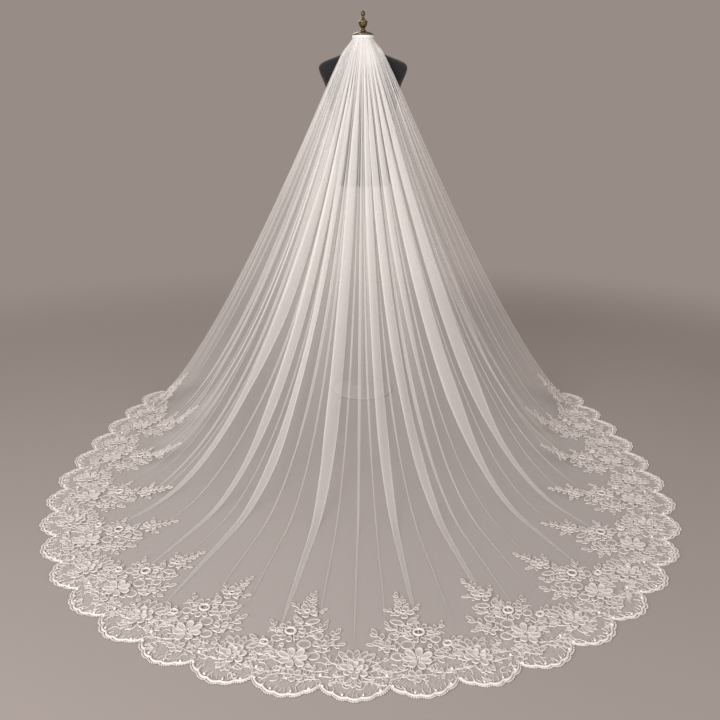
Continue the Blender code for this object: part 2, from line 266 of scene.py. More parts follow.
# Ring positions of a corded shape, from its outer edge to its middle, and its height at each
CORD_RINGS = (1.00, 0.90, 0.80, 0.55, 0.0)
CORD_INSETS = (0.10, 0.10, 0.25)
CORD_HEIGHTS = {
    "leaf": (0.0000, 0.0026, 0.0010, 0.0006, 0.0012),
    "petal": (0.0000, 0.0034, 0.0016, 0.0008, 0.0010),
}
MOTIF_SIDES = 18

# Stems of a tall spray on the right half of the hem: metres along the hem and in from it, heading,
# length, how far it winds, leaves, a leaf's length or a bare stem's width, and whether it sways
SPRAY_STEMS = named_columns(
    "u v heading length turn leaves size sways",
    (0.012, 0.322, 4.0, 0.066, -14.0, 6, 0.026, 1),
    (0.014, 0.302, 64.0, 0.040, -10.0, 3, 0.025, 1),
    (0.004, 0.300, -66.0, 0.036, 12.0, 3, 0.024, 1),
    (0.018, 0.165, 20.0, 0.110, -36.0, 0, 0.0040, 0),
    (-0.040, 0.140, -40.0, 0.086, 22.0, 6, 0.034, 0),
    (-0.060, 0.165, -92.0, 0.040, 20.0, 3, 0.027, 0),
    (0.044, 0.112, 58.0, 0.090, 12.0, 6, 0.031, 0),
    (0.050, 0.098, 98.0, 0.062, -30.0, 4, 0.027, 0),
    (0.062, 0.200, 64.0, 0.044, -30.0, 3, 0.026, 0),
    (0.000, 0.206, -58.0, 0.064, 36.0, 4, 0.026, 0),
    (0.030, 0.240, -8.0, 0.034, 60.0, 2, 0.020, 0),
    (-0.004, 0.186, -30.0, 0.066, -230.0, 0, 0.0032, 0),
    (0.016, 0.234, -40.0, 0.054, -210.0, 0, 0.0032, 0),
    (0.070, 0.176, 10.0, 0.052, 180.0, 0, 0.0032, 0),
    (-0.024, 0.236, -120.0, 0.050, 170.0, 0, 0.0032, 0),
    (-0.030, 0.066, -112.0, 0.066, 62.0, 5, 0.020, 0),
    (0.026, 0.050, 118.0, 0.078, -64.0, 6, 0.019, 0),
    (0.004, 0.040, 96.0, 0.046, 40.0, 3, 0.016, 0),
    (-0.034, 0.036, -84.0, 0.046, -46.0, 3, 0.016, 0),
)

# Seed pearls of one scallop: part of its width, inset from the cusp line, and radius
PEARLS = named_columns(
    "part inset radius",
    (0.04, 0.004, 0.0036),
    (0.20, -0.014, 0.0026),
    (0.33, -0.024, 0.0034),
    (0.62, -0.024, 0.0028),
    (0.86, -0.010, 0.0038),
    (0.98, 0.044, 0.0040),
)

# Sections of the two cords: distance out from the inner edge and height over the cloth
BRAID_SECTION = named_columns(
    "out height",
    (0.0000, 0.0000),
    (0.0010, 0.0022),
    (0.0030, 0.0036),
    (0.0052, 0.0038),
    (0.0072, 0.0026),
    (0.0082, 0.0000),
)
PICOT_SECTION = named_columns(
    "out height",
    (0.0000, 0.0000),
    (0.0007, 0.0020),
    (0.0021, 0.0020),
    (0.0028, 0.0000),
)

# ---------------------------------------------------------------- binding, sheets, brass and studio

BINDING_EDGE = 0.002
BINDING_OVERLAP = 0.0025
BINDING_SPLAY = 1.05
BINDING_BEVEL = 0.0009

# Profiles of the turned brass: radius and height
CAP_PROFILE = ((0.0000, 1.6945), (0.0160, 1.6940), (0.0280, 1.6915), (0.0380, 1.6880), (0.0440, 1.6846),
               (0.0462, 1.6826), (0.0462, 1.6812), (0.0450, 1.6803), (0.0000, 1.6803))
FINIAL_PROFILE = ((0.0000, 1.7795), (0.0035, 1.7786), (0.0054, 1.7762), (0.0080, 1.7735),
                  (0.0096, 1.7692), (0.0094, 1.7650), (0.0082, 1.7612), (0.0060, 1.7588),
                  (0.0050, 1.7568), (0.0050, 1.7545), (0.0062, 1.7500), (0.0085, 1.7455),
                  (0.0124, 1.7412), (0.0190, 1.7366), (0.0216, 1.7340), (0.0216, 1.7318),
                  (0.0197, 1.7300), (0.0193, 1.7270), (0.0182, 1.7215), (0.0150, 1.7150),
                  (0.0110, 1.7100), (0.0080, 1.7072), (0.0076, 1.7048), (0.0090, 1.7028),
                  (0.0122, 1.7000), (0.0136, 1.6978), (0.0136, 1.6958), (0.0126, 1.6948), (0.0000, 1.6948))

# Softboxes: name, place, aim, side in metres, power in watts
LIGHTS = (
    ("key_softbox", (-2.8, -5.2, 2.5), (0.0, -0.6, 0.8), 3.0, 285.0),
    ("fill_softbox", (3.4, -4.8, 2.2), (0.0, -0.6, 0.8), 3.0, 105.0),
    ("top_softbox", (0.0, -1.0, 5.0), (0.0, -1.0, 0.0), 4.5, 30.0),
    ("rear_softbox", (-1.5, 3.4, 3.4), (0.0, -0.4, 0.8), 2.5, 45.0),
)

# The floor's disc and the reach of its fade, the light all round, and the camera in degrees
FLOOR_RADIUS = 7.0
FLOOR_CENTRE = (0.0, -0.9, -0.0004)
FLOOR_FADE = (2.3, 4.3)
WORLD_COLOR = (0.312, 0.262, 0.238, 1.0)
CAMERA_LENS = 40.6
CAMERA_SENSOR = 36.0
CAMERA_PLACE = (0.034, -3.883, 1.425)
CAMERA_TURN = (71.933, 0.0, 0.70)


def smooth(value):
    value = np.clip(value, 0.0, 1.0)
    return value * value * (3.0 - 2.0 * value)


def hem_table():
    """Plan points of the hem's cusp line with their share of its length."""
    side_y = np.linspace(HEM_START_Y, ROUND_START_Y, 200)
    run = (side_y - ROUND_START_Y) / (HEM_START_Y - ROUND_START_Y)
    side_x = -(HEM_HALF_WIDTH - (HEM_HALF_WIDTH - HEM_START_X) * run ** 2)
    turn = np.linspace(0.0, math.pi, 600)[1:]
    round_x = -HEM_HALF_WIDTH * np.cos(turn)
    round_y = ROUND_START_Y - ROUND_DEPTH * np.sin(turn)
    x = np.concatenate([side_x, round_x, -side_x[::-1][1:]])
    y = np.concatenate([side_y, round_y, side_y[::-1][1:]])
    length = np.concatenate([[0.0], np.cumsum(np.hypot(np.diff(x), np.diff(y)))])
    return x, y, length / length[-1], length[-1]


HEM_X, HEM_Y, HEM_SHARE, HEM_LENGTH = hem_table()
HEM_ANGLE = np.arctan2(HEM_X, -HEM_Y)
HEM_RADIUS = np.hypot(HEM_X, HEM_Y)


def hem_plan(share):
    return np.interp(share, HEM_SHARE, HEM_X), np.interp(share, HEM_SHARE, HEM_Y)


def fall(reach, distance):
    """Height of the cloth line that reaches this far, at a plan distance from the gather."""
    settled = smooth((reach - LANDING_START) / (LANDING_END - LANDING_START))
    landing = SIDE_LANDING + (BACK_LANDING - SIDE_LANDING) * settled
    flared = np.clip((reach - FLARE_START) / (FLARE_END - FLARE_START), 0.0, 1.0)
    flare = SIDE_FLARE + (BACK_FLARE - SIDE_FLARE) * flared
    return VEIL_TOP * np.maximum(1.0 - distance / landing, 0.0) ** flare


def plan_height(x, y):
    """Height of the smooth cloth over a plan point, where its lines run straight from the axis."""
    inner = GATHER_RADIUS + NECK_SPREAD
    return fall(np.interp(np.arctan2(x, -y), HEM_ANGLE, HEM_RADIUS) - inner, np.hypot(x, y) - inner)


def fold_rise(share):
    """Height of the broad folds at this share, before it is scaled for the reach."""
    rise = np.zeros_like(share)
    for centre, half_width, depth in zip(*FOLDS.values()):
        offset = np.clip(np.abs(share - centre) / half_width, 0.0, 1.0)
        rise += depth * np.cos(0.5 * math.pi * offset) ** 2
    return rise


def lobe(share):
    """How far the scallop stands out past the cusp line."""
    return LOBE * np.abs(np.sin(math.pi * share * SCALLOPS)) ** LOBE_FULLNESS


def cloth_place(share, distance):
    """Smooth cloth with its broad folds, at shares and plan distances from the gather."""
    x, y = hem_plan(share)
    radius = np.hypot(x, y)
    along_x = x / radius
    along_y = y / radius
    height = fall(radius - GATHER_RADIUS - NECK_SPREAD, distance)
    returned = smooth((distance - SHOULDER_RETURN_START) / SHOULDER_RETURN)
    bow = SHOULDER_BOW * smooth(distance / SHOULDER_BOW_REACH) * (1.0 - returned)
    rise = fold_rise(share) * smooth(distance / FOLD_REACH) * smooth(height / FOLD_HEIGHT)
    out = GATHER_RADIUS + NECK_SPREAD * smooth(distance / NECK_SPREAD_REACH) + distance + 0.8 * rise
    return np.stack([along_x * out, along_y * out - bow * along_x ** 2, height + 0.5 * rise], axis=-1)


def unit(vectors):
    return vectors / np.maximum(np.linalg.norm(vectors, axis=-1, keepdims=True), 1e-9)


def cloth_normal(share, distance):
    """Outward normal of the smooth cloth."""
    step = 0.002
    across = cloth_place(np.clip(share + step, 0.0, 1.0), distance)
    across = across - cloth_place(np.clip(share - step, 0.0, 1.0), distance)
    down = cloth_place(share, distance + step) - cloth_place(share, np.maximum(distance - step, 0.0))
    return unit(np.cross(down, across))


def pleat_places(part):
    """Centre, half width, fold and height of every pleat at every part of the way down."""
    level = part[:, None]
    drift = smooth((level - PLEAT_DRIFT_START) / PLEAT_DRIFT)
    centre = PLEATS["high"] + (PLEATS["low"] - PLEATS["high"]) * drift
    upper = np.clip((level - PLEAT_TAPER_START) / (PLEATS["holds"] - PLEAT_TAPER_START), 0.0, 1.0)
    lower = np.clip((level - PLEATS["holds"]) / (PLEATS["ends"] - PLEATS["holds"]), 0.0, 1.0)
    wide = 1.15 * PLEATS["wide"]
    width = wide + (PLEATS["mid"] - wide) * upper ** 0.85
    width = width + (PLEAT_FOOT - width) * (1.0 - (1.0 - lower) ** 1.5)
    edges = np.concatenate([np.zeros_like(level), centre, np.ones_like(level)], axis=1)
    room = np.diff(edges, axis=1)
    half = np.minimum(0.5 * width / BAND_SHARE, PLEAT_ROOM * np.minimum(room[:, :-1], room[:, 1:]))
    fold = 1.0 - smooth((level - PLEATS["ends"] + PLEAT_END) / PLEAT_END)
    flat = smooth(1.0 - level / 0.62)
    height = PLEATS["out"] * (0.22 + 0.78 * flat) * smooth(level / 0.10) + 0.0012
    return centre, half, fold, height


def pleated(part):
    """Cloth coordinate, share, stand-out and layers of each column at each part of the way down."""
    section = PLEAT_SECTION
    centre, half, fold, height = pleat_places(part)
    pleats = centre.shape[1]
    turned = np.clip((np.abs(section["across"]) - 0.60) / 0.25, 0.0, 1.0)
    turned = turned * (np.abs(section["cloth"]) < 0.45)
    sinking = smooth(part / 0.8)[:, None]
    fading = smooth((part - 0.50) / 0.45)[:, None]
    between = np.linspace(0.0, 1.0, GAP_COLUMNS + 2)[1:-1]
    first = np.concatenate([np.zeros_like(part)[:, None], centre + half], axis=1)
    last = np.concatenate([centre - half, np.ones_like(part)[:, None]], axis=1)
    blocks = []
    for number in range(pleats + 1):
        gap = first[:, number, None] + (last[:, number] - first[:, number])[:, None] * between
        if number == 0:
            gap = np.concatenate([first[:, :1], gap], axis=1)
        if number == pleats:
            gap = np.concatenate([gap, last[:, -1:]], axis=1)
        behind = GAP_EXTRA * (OPEN_GAP_SHARE if number in OPEN_GAPS else 1.0)
        filled = behind * (1.0 - smooth(part / 0.5))[:, None]
        blocks.append((gap, gap, np.zeros_like(gap), 1.0 + filled + np.zeros_like(gap)))
        if number < pleats:
            middle = centre[:, number, None]
            wide = half[:, number, None]
            folded = fold[:, number, None]
            cloth = middle + wide * section["cloth"]
            share = middle + wide * (section["across"] * folded + section["cloth"] * (1.0 - folded))
            stand = height[:, number, None] * folded * section["out"]
            thin = 0.5 * (1.0 - PLEATS["full"][number])
            extra = PLEAT_EXTRA * (1.0 - sinking) - PLEAT_FADE * fading - thin
            layers = 1.0 + folded * (extra + PLEAT_EDGE * turned)
            blocks.append((cloth, share, stand, np.maximum(layers, LEAST_LAYERS)))
    return [np.concatenate(columns, axis=1) for columns in zip(*blocks)]


def gather_ripples(cloth, distance):
    """Fine uneven gathers that start at the binding and die out down the skirt of the veil."""
    turn = 2.0 * math.pi * cloth
    wander = 1.6 * np.sin(7.3 * turn + 0.7) + 1.1 * np.sin(17.0 * turn + 2.0)
    phase = GATHER_RIPPLES * turn + 2.0 * wander
    second = 0.53 * GATHER_RIPPLES * turn + 1.3 * wander
    strength = 0.6 + 0.4 * np.sin(11.0 * turn + 1.0)
    fine = FINE_RIPPLE * smooth((distance + 0.04) / 0.16) * (1.0 - smooth((distance - 0.20) / 0.70))
    broad = BROAD_RIPPLE * smooth(distance / 0.25) * (1.0 - smooth((distance - 0.55) / 0.90))
    return strength * (fine * np.sin(phase) + broad * np.sin(second))


def tulle_grid():
    """Points, layer counts and cloth coordinates of the veil's net."""
    part = np.linspace(0.0, 1.0, CLOTH_ROWS + 1) ** 1.15
    cloth, share, stand, layers = pleated(part)
    share = np.clip(share, 0.0, 1.0)
    x, y = hem_plan(share)
    distance = part[:, None] * (np.hypot(x, y) - GATHER_RADIUS - NECK_SPREAD)
    stand = stand + gather_ripples(cloth, distance)
    base = cloth_place(share, distance)
    floor_ease = 1.0 - 0.8 * smooth(1.0 - base[..., 2] / FLOOR_EASE)
    points = base + cloth_normal(share, distance) * (stand * floor_ease + CLOTH_LIFT)[..., None]
    along = hem_direction(share)
    edge = (lobe(share) - EDGE_INSET) * smooth((part - EDGE_START) / (1.0 - EDGE_START))[:, None]
    points[..., 0] += along[..., 1] * edge
    points[..., 1] -= along[..., 0] * edge
    points[..., 2] = np.maximum(points[..., 2], CLOTH_LIFT)
    perimeter = 2.9 * (GATHER_RADIUS + distance)
    middle = smooth(1.35 - np.abs(share - 0.5) / 0.30)
    gathered = CLOTH_AT_TOP * (SIDE_CLOTH + (1.0 - SIDE_CLOTH) * middle)
    depth = np.maximum(0.62 * gathered / perimeter, LEAST_CLOTH)
    return points, layers * depth, cloth, part


def hem_direction(share):
    """Unit direction of the hem's cusp line in plan."""
    ahead = np.stack(hem_plan(np.minimum(share + 0.004, 1.0)), axis=-1)
    behind = np.stack(hem_plan(np.maximum(share - 0.004, 0.0)), axis=-1)
    return unit(ahead - behind)


# ---------------------------------------------------------------- mesh helpers

def new_mesh_object(name, points, quads):
    """Object at the origin from arrays of points and of equal-length faces."""
    points = np.asarray(points, dtype=np.float32).reshape(-1, 3)
    quads = np.asarray(quads, dtype=np.int32)
    mesh = bpy.data.meshes.new(name)
    mesh.vertices.add(len(points))
    mesh.vertices.foreach_set("co", points.ravel())
    corners = quads.shape[1]
    mesh.loops.add(quads.size)
    mesh.loops.foreach_set("vertex_index", quads.ravel())
    mesh.polygons.add(len(quads))
    mesh.polygons.foreach_set("loop_start", np.arange(0, quads.size, corners, dtype=np.int32))
    mesh.update(calc_edges=True)
    mesh.validate()
    mesh.shade_smooth()
    made = bpy.data.objects.new(name, mesh)
    bpy.context.scene.collection.objects.link(made)
    return made


def grid_faces(rows, columns):
    """Quads of a grid with this many points each way."""
    index = np.arange(rows * columns).reshape(rows, columns)
    corners = [index[:-1, :-1], index[1:, :-1], index[1:, 1:], index[:-1, 1:]]
    return np.stack(corners, axis=-1).reshape(-1, 4)


def add_attribute(target, name, values):
    attribute = target.data.attributes.new(name, "FLOAT", "POINT")
    attribute.data.foreach_set("value", np.asarray(values, dtype=np.float32).ravel())


def add_flat_map(target, across, down):
    """UV map that follows the cloth, in metres of its cut."""
    layer = target.data.uv_layers.new(name="cloth")
    loops = np.empty(len(target.data.loops), dtype=np.int32)
    target.data.loops.foreach_get("vertex_index", loops)
    coordinates = np.stack([np.ravel(across)[loops], np.ravel(down)[loops]], axis=-1)
    layer.data.foreach_set("uv", coordinates.astype(np.float32).ravel())


def finish_piece(piece, material, slot, *nodes):
    """Gives a piece its material, parents it to the root body and hides the CAD nodes that it stands for; the
    slot is not used.
    """
    piece.data.materials.clear()
    piece.data.materials.append(material)
    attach(piece, "root")
    if nodes:
        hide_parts(*nodes)


# ---------------------------------------------------------------- the cloth that the lace lies on


class LaceGround:
    """Table of cloth points, by share of the hem and by inset square to the hem."""

    def __init__(self, tulle):
        self.shares = np.linspace(0.0, 1.0, LACE_COLUMNS + 1)
        self.insets = np.arange(-LACE_OUTWARD, LACE_REACH + 0.5 * LACE_STEP, LACE_STEP / 2.0)
        x, y = hem_plan(self.shares)
        along = hem_direction(self.shares)
        inward = np.stack([-along[:, 1], along[:, 0]], axis=-1)
        rows = []
        for inset in self.insets[self.insets < 0.0]:
            rows.append(np.stack([x, y], axis=-1) + inward * inset)
        plan = np.stack([x, y], axis=-1)
        stride = 0.25 * LACE_STEP
        for _ in self.insets[self.insets >= 0.0]:
            rows.append(plan)
            for _ in range(2):
                ahead = plan + inward * stride
                climb = (plan_height(*ahead.T) - plan_height(*plan.T)) / stride
                plan = plan + inward * (stride / np.hypot(1.0, climb))[:, None]
        plan = np.array(rows[:len(self.insets)])
        bpy.context.view_layer.update()
        heights = plan_height(plan[..., 0], plan[..., 1])
        for row, column in np.ndindex(heights.shape):
            hit, place, _, _ = tulle.ray_cast(Vector((*plan[row, column], RAY_HEIGHT)), DOWN)
            if hit:
                heights[row, column] = place.z
        heights = np.maximum(heights, CLOTH_LIFT)
        for _ in range(2):
            heights[1:-1] = 0.25 * heights[:-2] + 0.5 * heights[1:-1] + 0.25 * heights[2:]
            bridged = 0.5 * heights[:, :-2] + 0.5 * heights[:, 2:]
            heights[:, 1:-1] = np.maximum(heights[:, 1:-1], bridged)
        self.points = np.concatenate([plan, heights[..., None]], axis=-1)
        across = np.gradient(self.points, axis=1)
        self.normals = unit(np.cross(across, np.gradient(self.points, axis=0)))
        widths = np.linalg.norm(across[..., :2], axis=-1)
        hem_row = np.argmin(np.abs(self.insets))
        self.widths = widths / widths[hem_row]

    def look_up(self, table, share, inset):
        """Values of a table between its rows and columns."""
        column = np.clip(share, 0.0, 1.0) * LACE_COLUMNS
        row = (np.clip(inset, self.insets[0], self.insets[-1]) - self.insets[0]) / (0.5 * LACE_STEP)
        left = np.minimum(column.astype(int), LACE_COLUMNS - 1)
        lower = np.minimum(row.astype(int), len(self.insets) - 2)
        side = (column - left).reshape(column.shape + (1,) * (table.ndim - 2))
        up = (row - lower).reshape(row.shape + (1,) * (table.ndim - 2))
        near = table[lower, left] * (1.0 - side) + table[lower, left + 1] * side
        far = table[lower + 1, left] * (1.0 - side) + table[lower + 1, left + 1] * side
        return near * (1.0 - up) + far * up

    def place(self, share, inset, lift):
        """World points at these shares and insets, standing this far off the cloth."""
        base = self.look_up(self.points, share, inset)
        normal = unit(self.look_up(self.normals, share, inset))
        return base + normal * (lift + LACE_LIFT)[..., None]

    def place_from(self, centre, flat):
        """World points of a motif drawn flat around a share of the hem."""
        inset = flat[:, 1]
        width = np.maximum(self.look_up(self.widths, np.full(len(flat), centre), inset), 0.4)
        return self.place(centre + flat[:, 0] / (HEM_LENGTH * width), inset, flat[:, 2])


# ---------------------------------------------------------------- lace motifs, drawn flat

def edit_all(piece):
    """Edit mode on one piece alone, with all of its mesh selected."""
    bpy.ops.object.select_all(action="DESELECT")
    bpy.context.view_layer.objects.active = piece
    piece.select_set(True)
    bpy.ops.object.mode_set(mode="EDIT")
    bpy.ops.mesh.select_all(action="SELECT")


def grab_shape():
    """Points and triangles of the active object, which is then removed."""
    piece = bpy.context.active_object
    edit_all(piece)
    bpy.ops.mesh.quads_convert_to_tris()
    bpy.ops.object.mode_set(mode="OBJECT")
    mesh = piece.data
    points = np.empty(3 * len(mesh.vertices), dtype=np.float32)
    mesh.vertices.foreach_get("co", points)
    corners = np.empty(3 * len(mesh.polygons), dtype=np.int32)
    mesh.polygons.foreach_get("vertices", corners)
    bpy.data.objects.remove(piece)
    bpy.data.meshes.remove(mesh)
    return points.reshape(-1, 3).astype(float), corners.reshape(-1, 3)


def disc_shape():
    """Flat unit disc with its rings inset one by one."""
    bpy.ops.object.select_all(action="DESELECT")
    bpy.ops.mesh.primitive_circle_add(vertices=MOTIF_SIDES, radius=1.0, fill_type="NGON")
    edit_all(bpy.context.active_object)
    for width in CORD_INSETS:
        bpy.ops.mesh.inset(thickness=width, depth=0.0)
    bpy.ops.mesh.poke()
    bpy.ops.object.mode_set(mode="OBJECT")
    return grab_shape()


def ring_shape():
    bpy.ops.object.select_all(action="DESELECT")
    bpy.ops.mesh.primitive_torus_add(major_segments=20, minor_segments=6, major_radius=0.80,
                                     minor_radius=0.20)
    return grab_shape()


def bead_shape(segments, rings):
    bpy.ops.object.select_all(action="DESELECT")
    bpy.ops.mesh.primitive_uv_sphere_add(segments=segments, ring_count=rings, radius=1.0)
    return grab_shape()


class Shapes:
    """The few shapes that the lace repeats, each modelled once."""

    def __init__(self):
        points, corners = disc_shape()
        radius = np.hypot(points[:, 0], points[:, 1])
        turn = np.arctan2(points[:, 0], points[:, 1])
        self.corners = corners
        # Corded rim of each shape: solid thread there, and the lace material paints the part inside it darker
        # as painted shade.
        self.rim = np.interp(radius, (0.0, 0.74, 0.84, 1.0), (0.0, 0.0, 1.0, 1.0))
        self.radius = radius
        self.round = points
        self.outlines = {
            "petal": self.outline(turn, 0.62 * np.sin(turn) * (1.0 - 0.52 * np.sin(0.5 * turn) ** 2)),
            "leaf": self.outline(turn, 0.5 * np.sign(np.sin(turn)) * np.abs(np.sin(turn)) ** 1.35),
        }
        self.ring = ring_shape()
        self.bead = bead_shape(10, 7)
        self.seed = bead_shape(6, 4)

    def outline(self, turn, half_width):
        """Shape of length 1 along +v from the origin, shrunk towards its middle ring by ring."""
        v = 0.5 + 0.5 * np.cos(turn)
        return np.stack([half_width * self.radius, 0.52 + (v - 0.52) * self.radius], axis=-1)


class Lacework:
    """Collects shapes on a flat drawing: along the hem, inset from it, and lift off the cloth."""

    def __init__(self, shapes):
        self.shapes = shapes
        self.points = []
        self.corners = []
        self.solid = []
        self.count = 0

    def add(self, points, corners, solid):
        self.points.append(points)
        self.corners.append(corners + self.count)
        self.solid.append(solid)
        self.count += len(points)

    def add_blade(self, kind, u, v, heading, length, width, lift=0.0, cup=0.0, fill=0.45):
        """A corded petal or leaf that grows from a point, towards a heading in degrees."""
        shape = self.shapes.outlines[kind]
        along = shape[:, 1] * length
        across = shape[:, 0] * width
        turn = math.radians(heading)
        size = min(1.0, length / FULL_CORD_LENGTH)
        heights = np.array(CORD_HEIGHTS[kind])[::-1] * size
        stand = np.interp(self.shapes.radius, CORD_RINGS[::-1], heights)
        stand = stand + lift + cup * shape[:, 1] ** 2
        flat = np.stack([u + across * math.cos(turn) + along * math.sin(turn),
                         v - across * math.sin(turn) + along * math.cos(turn), stand], axis=-1)
        # fill is how solid the filled middle is: it lets the cloth show through and, in the lace material,
        # paints that middle darker as painted shade.
        self.add(flat, self.shapes.corners, fill + (1.0 - fill) * self.shapes.rim)

    def add_ring(self, u, v, radius_u, radius_v, lift, height):
        """Open ring of cord."""
        points, corners = self.shapes.ring
        flat = points * (radius_u, radius_v, 5.0 * height) + (u, v, lift + 0.5 * height)
        self.add(flat, corners, np.ones(len(points)))

    def add_stamens(self, u, v, spread, count, lift):
        """Small seeds round the middle of a blossom."""
        points, corners = self.shapes.seed
        for index in range(count):
            turn = 2.0 * math.pi * index / count
            place = (u + spread * math.sin(turn), v + spread * math.cos(turn), lift)
            self.add(points * SEED_RADIUS + place, corners, np.ones(len(points)))

    def add_disc(self, u, v, radius_u, radius_v, fill=0.45):
        """Round corded shape with a net filling."""
        turn = np.arctan2(self.shapes.round[:, 0], self.shapes.round[:, 1])
        radius = self.shapes.radius
        stand = np.interp(radius, CORD_RINGS[::-1], CORD_HEIGHTS["leaf"][::-1])
        flat = np.stack([u + radius_u * radius * np.sin(turn), v + radius_v * radius * np.cos(turn), stand],
                        axis=-1)
        # As with a blade, fill also paints the filled middle darker as painted shade.
        self.add(flat, self.shapes.corners, fill + (1.0 - fill) * self.shapes.rim)

    def add_vine(self, u, v, heading, length, turn, width=VINE_WIDTH, lift=0.0):
        """Raised cord that sets off at a heading and winds by so many degrees; returns its way."""
        steps = max(5, int(length / VINE_STEP))
        part = np.linspace(0.0, 1.0, steps + 1)
        angle = np.radians(heading + turn * part ** 1.4)
        stride = length / steps
        way_u = u + np.concatenate([[0.0], np.cumsum(np.sin(angle[:-1]))]) * stride
        way_v = v + np.concatenate([[0.0], np.cumsum(np.cos(angle[:-1]))]) * stride
        half = 0.5 * width * (1.0 - VINE_TAPER * part)
        rows = []
        for side, height in ((-1.0, 0.0), (-0.5, 1.0), (0.5, 1.0), (1.0, 0.0)):
            rows.append(np.stack([way_u + side * half * np.cos(angle), way_v - side * half * np.sin(angle),
                                  lift + 1.5 * half * height], axis=-1))
        quads = grid_faces(4, steps + 1)
        triangles = np.concatenate([quads[:, (0, 3, 2)], quads[:, (0, 2, 1)]])
        self.add(np.concatenate(rows), triangles, np.ones(4 * (steps + 1)))
        return way_u, way_v, np.degrees(angle)

    def add_sprig(self, u, v, heading, length, turn, leaves, leaf, fill=0.5):
        """A winding stem with leaves that come off its two sides in turn, and one at its tip."""
        way_u, way_v, way = self.add_vine(u, v, heading, length, turn)
        for index in range(leaves):
            part = (index + 0.9) / (leaves + 0.4)
            at = min(int(part * (len(way) - 1)), len(way) - 1)
            side = -1.0 if index % 2 else 1.0
            size = leaf * (1.12 - 0.42 * part)
            self.add_blade("leaf", way_u[at], way_v[at], way[at] + side * (58.0 - 14.0 * part), size,
                           0.52 * size, lift=LEAF_LIFT, fill=fill)
        self.add_blade("leaf", way_u[-1], way_v[-1], way[-1], 0.9 * leaf, 0.45 * leaf, lift=LEAF_LIFT,
                       fill=fill)

    def add_blossom(self, u, v, radius, petals, turn, kind="petal", lift=0.0, cup=0.002, spread=0.46,
                    fill=0.85, start=0.10):
        """A ring of petals round a centre."""
        for index in range(petals):
            heading = turn + 360.0 * index / petals
            size = radius * (1.0 - start) * (1.0 + 0.10 * math.sin(2.3 * index + turn))
            root = radius * start
            away = math.radians(heading)
            self.add_blade(kind, u + root * math.sin(away), v + root * math.cos(away), heading, size,
                           spread * radius * 1.5, lift=lift + 0.0004 * (index % 2), cup=cup, fill=fill)

    def make(self, name, ground, centre, size=1.0):
        """Joined mesh of all that was drawn, laid on the cloth around a share of the hem."""
        flat = np.concatenate(self.points) * (size, size, 1.0)
        edge = hem_line(centre + flat[:, 0] / HEM_LENGTH, -EDGE_ROOM)
        flat[:, 1] = np.maximum(flat[:, 1], edge)
        piece = new_mesh_object(name, ground.place_from(centre, flat), np.concatenate(self.corners))
        add_attribute(piece, "solid", np.concatenate(self.solid))
        add_flat_map(piece, flat[:, 0], flat[:, 1])
        return piece


def draw_tall_spray(work, flip, chance):
    """Main blossom at the hem, then branches, a ring flower, an upper blossom and a leafy tip."""
    def at(value):
        """A place or a heading, mirrored on the left half of the hem."""
        return flip * value

    sway = chance.uniform(-0.008, 0.008)
    turn = chance.uniform(0, 40)
    work.add_blossom(at(0.004), 0.098, 0.052, 7, turn + 26, "leaf", cup=0.0, spread=0.30, fill=0.35)
    work.add_blossom(at(0.004), 0.098, 0.043, 7, turn, lift=0.0022, cup=0.0036, spread=0.35, fill=0.76,
                     start=0.17)
    work.add_stamens(at(0.004), 0.098, 0.0060, 5, lift=0.0036)
    work.add_blossom(at(-0.014), 0.034, 0.027, 5, 180.0, "leaf", lift=0.0014, cup=0.0015, fill=0.55)
    work.add_blossom(at(-0.064) + sway, 0.158, 0.025, 4, 15.0, lift=0.0014, fill=0.5)
    work.add_blossom(at(0.034) + sway, 0.208, 0.044, 11, 8.0, cup=0.0004, spread=0.27, fill=0.45,
                     start=0.46)
    work.add_ring(at(0.034) + sway, 0.208, 0.0185, 0.0170, lift=0.0018, height=0.0036)
    work.add_blossom(at(0.010) + sway, 0.306, 0.031, 5, 36.0, lift=0.0010, fill=0.5, start=0.20)
    work.add_ring(at(0.010) + sway, 0.306, 0.0095, 0.0090, lift=0.0020, height=0.0030)
    work.add_ring(at(0.100), 0.146, 0.0145, 0.0125, lift=0.0006, height=0.0032)
    work.add_ring(at(0.049), 0.146, 0.0075, 0.0070, lift=0.0006, height=0.0026)
    work.add_disc(at(-0.010), 0.163, 0.0210, 0.0190)
    work.add_disc(at(-0.040), 0.204, 0.0150, 0.0170)
    work.add_disc(at(0.072), 0.172, 0.0160, 0.0150)
    work.add_disc(at(-0.046), 0.118, 0.0190, 0.0170, fill=0.5)
    work.add_blade("leaf", at(0.004) + sway, 0.252, at(-62.0), 0.046, 0.024, lift=0.0008, fill=0.5)
    work.add_blade("leaf", at(0.010) + sway, 0.250, at(52.0), 0.042, 0.021, lift=0.0008, fill=0.5)
    for u, v, heading, length, turning, leaves, size, sways in zip(*SPRAY_STEMS.values()):
        place = (at(u) + sways * sway, v, at(heading), length, at(turning))
        if leaves:
            work.add_sprig(*place, int(leaves), size)
        else:
            work.add_vine(*place, width=size, lift=0.0004)


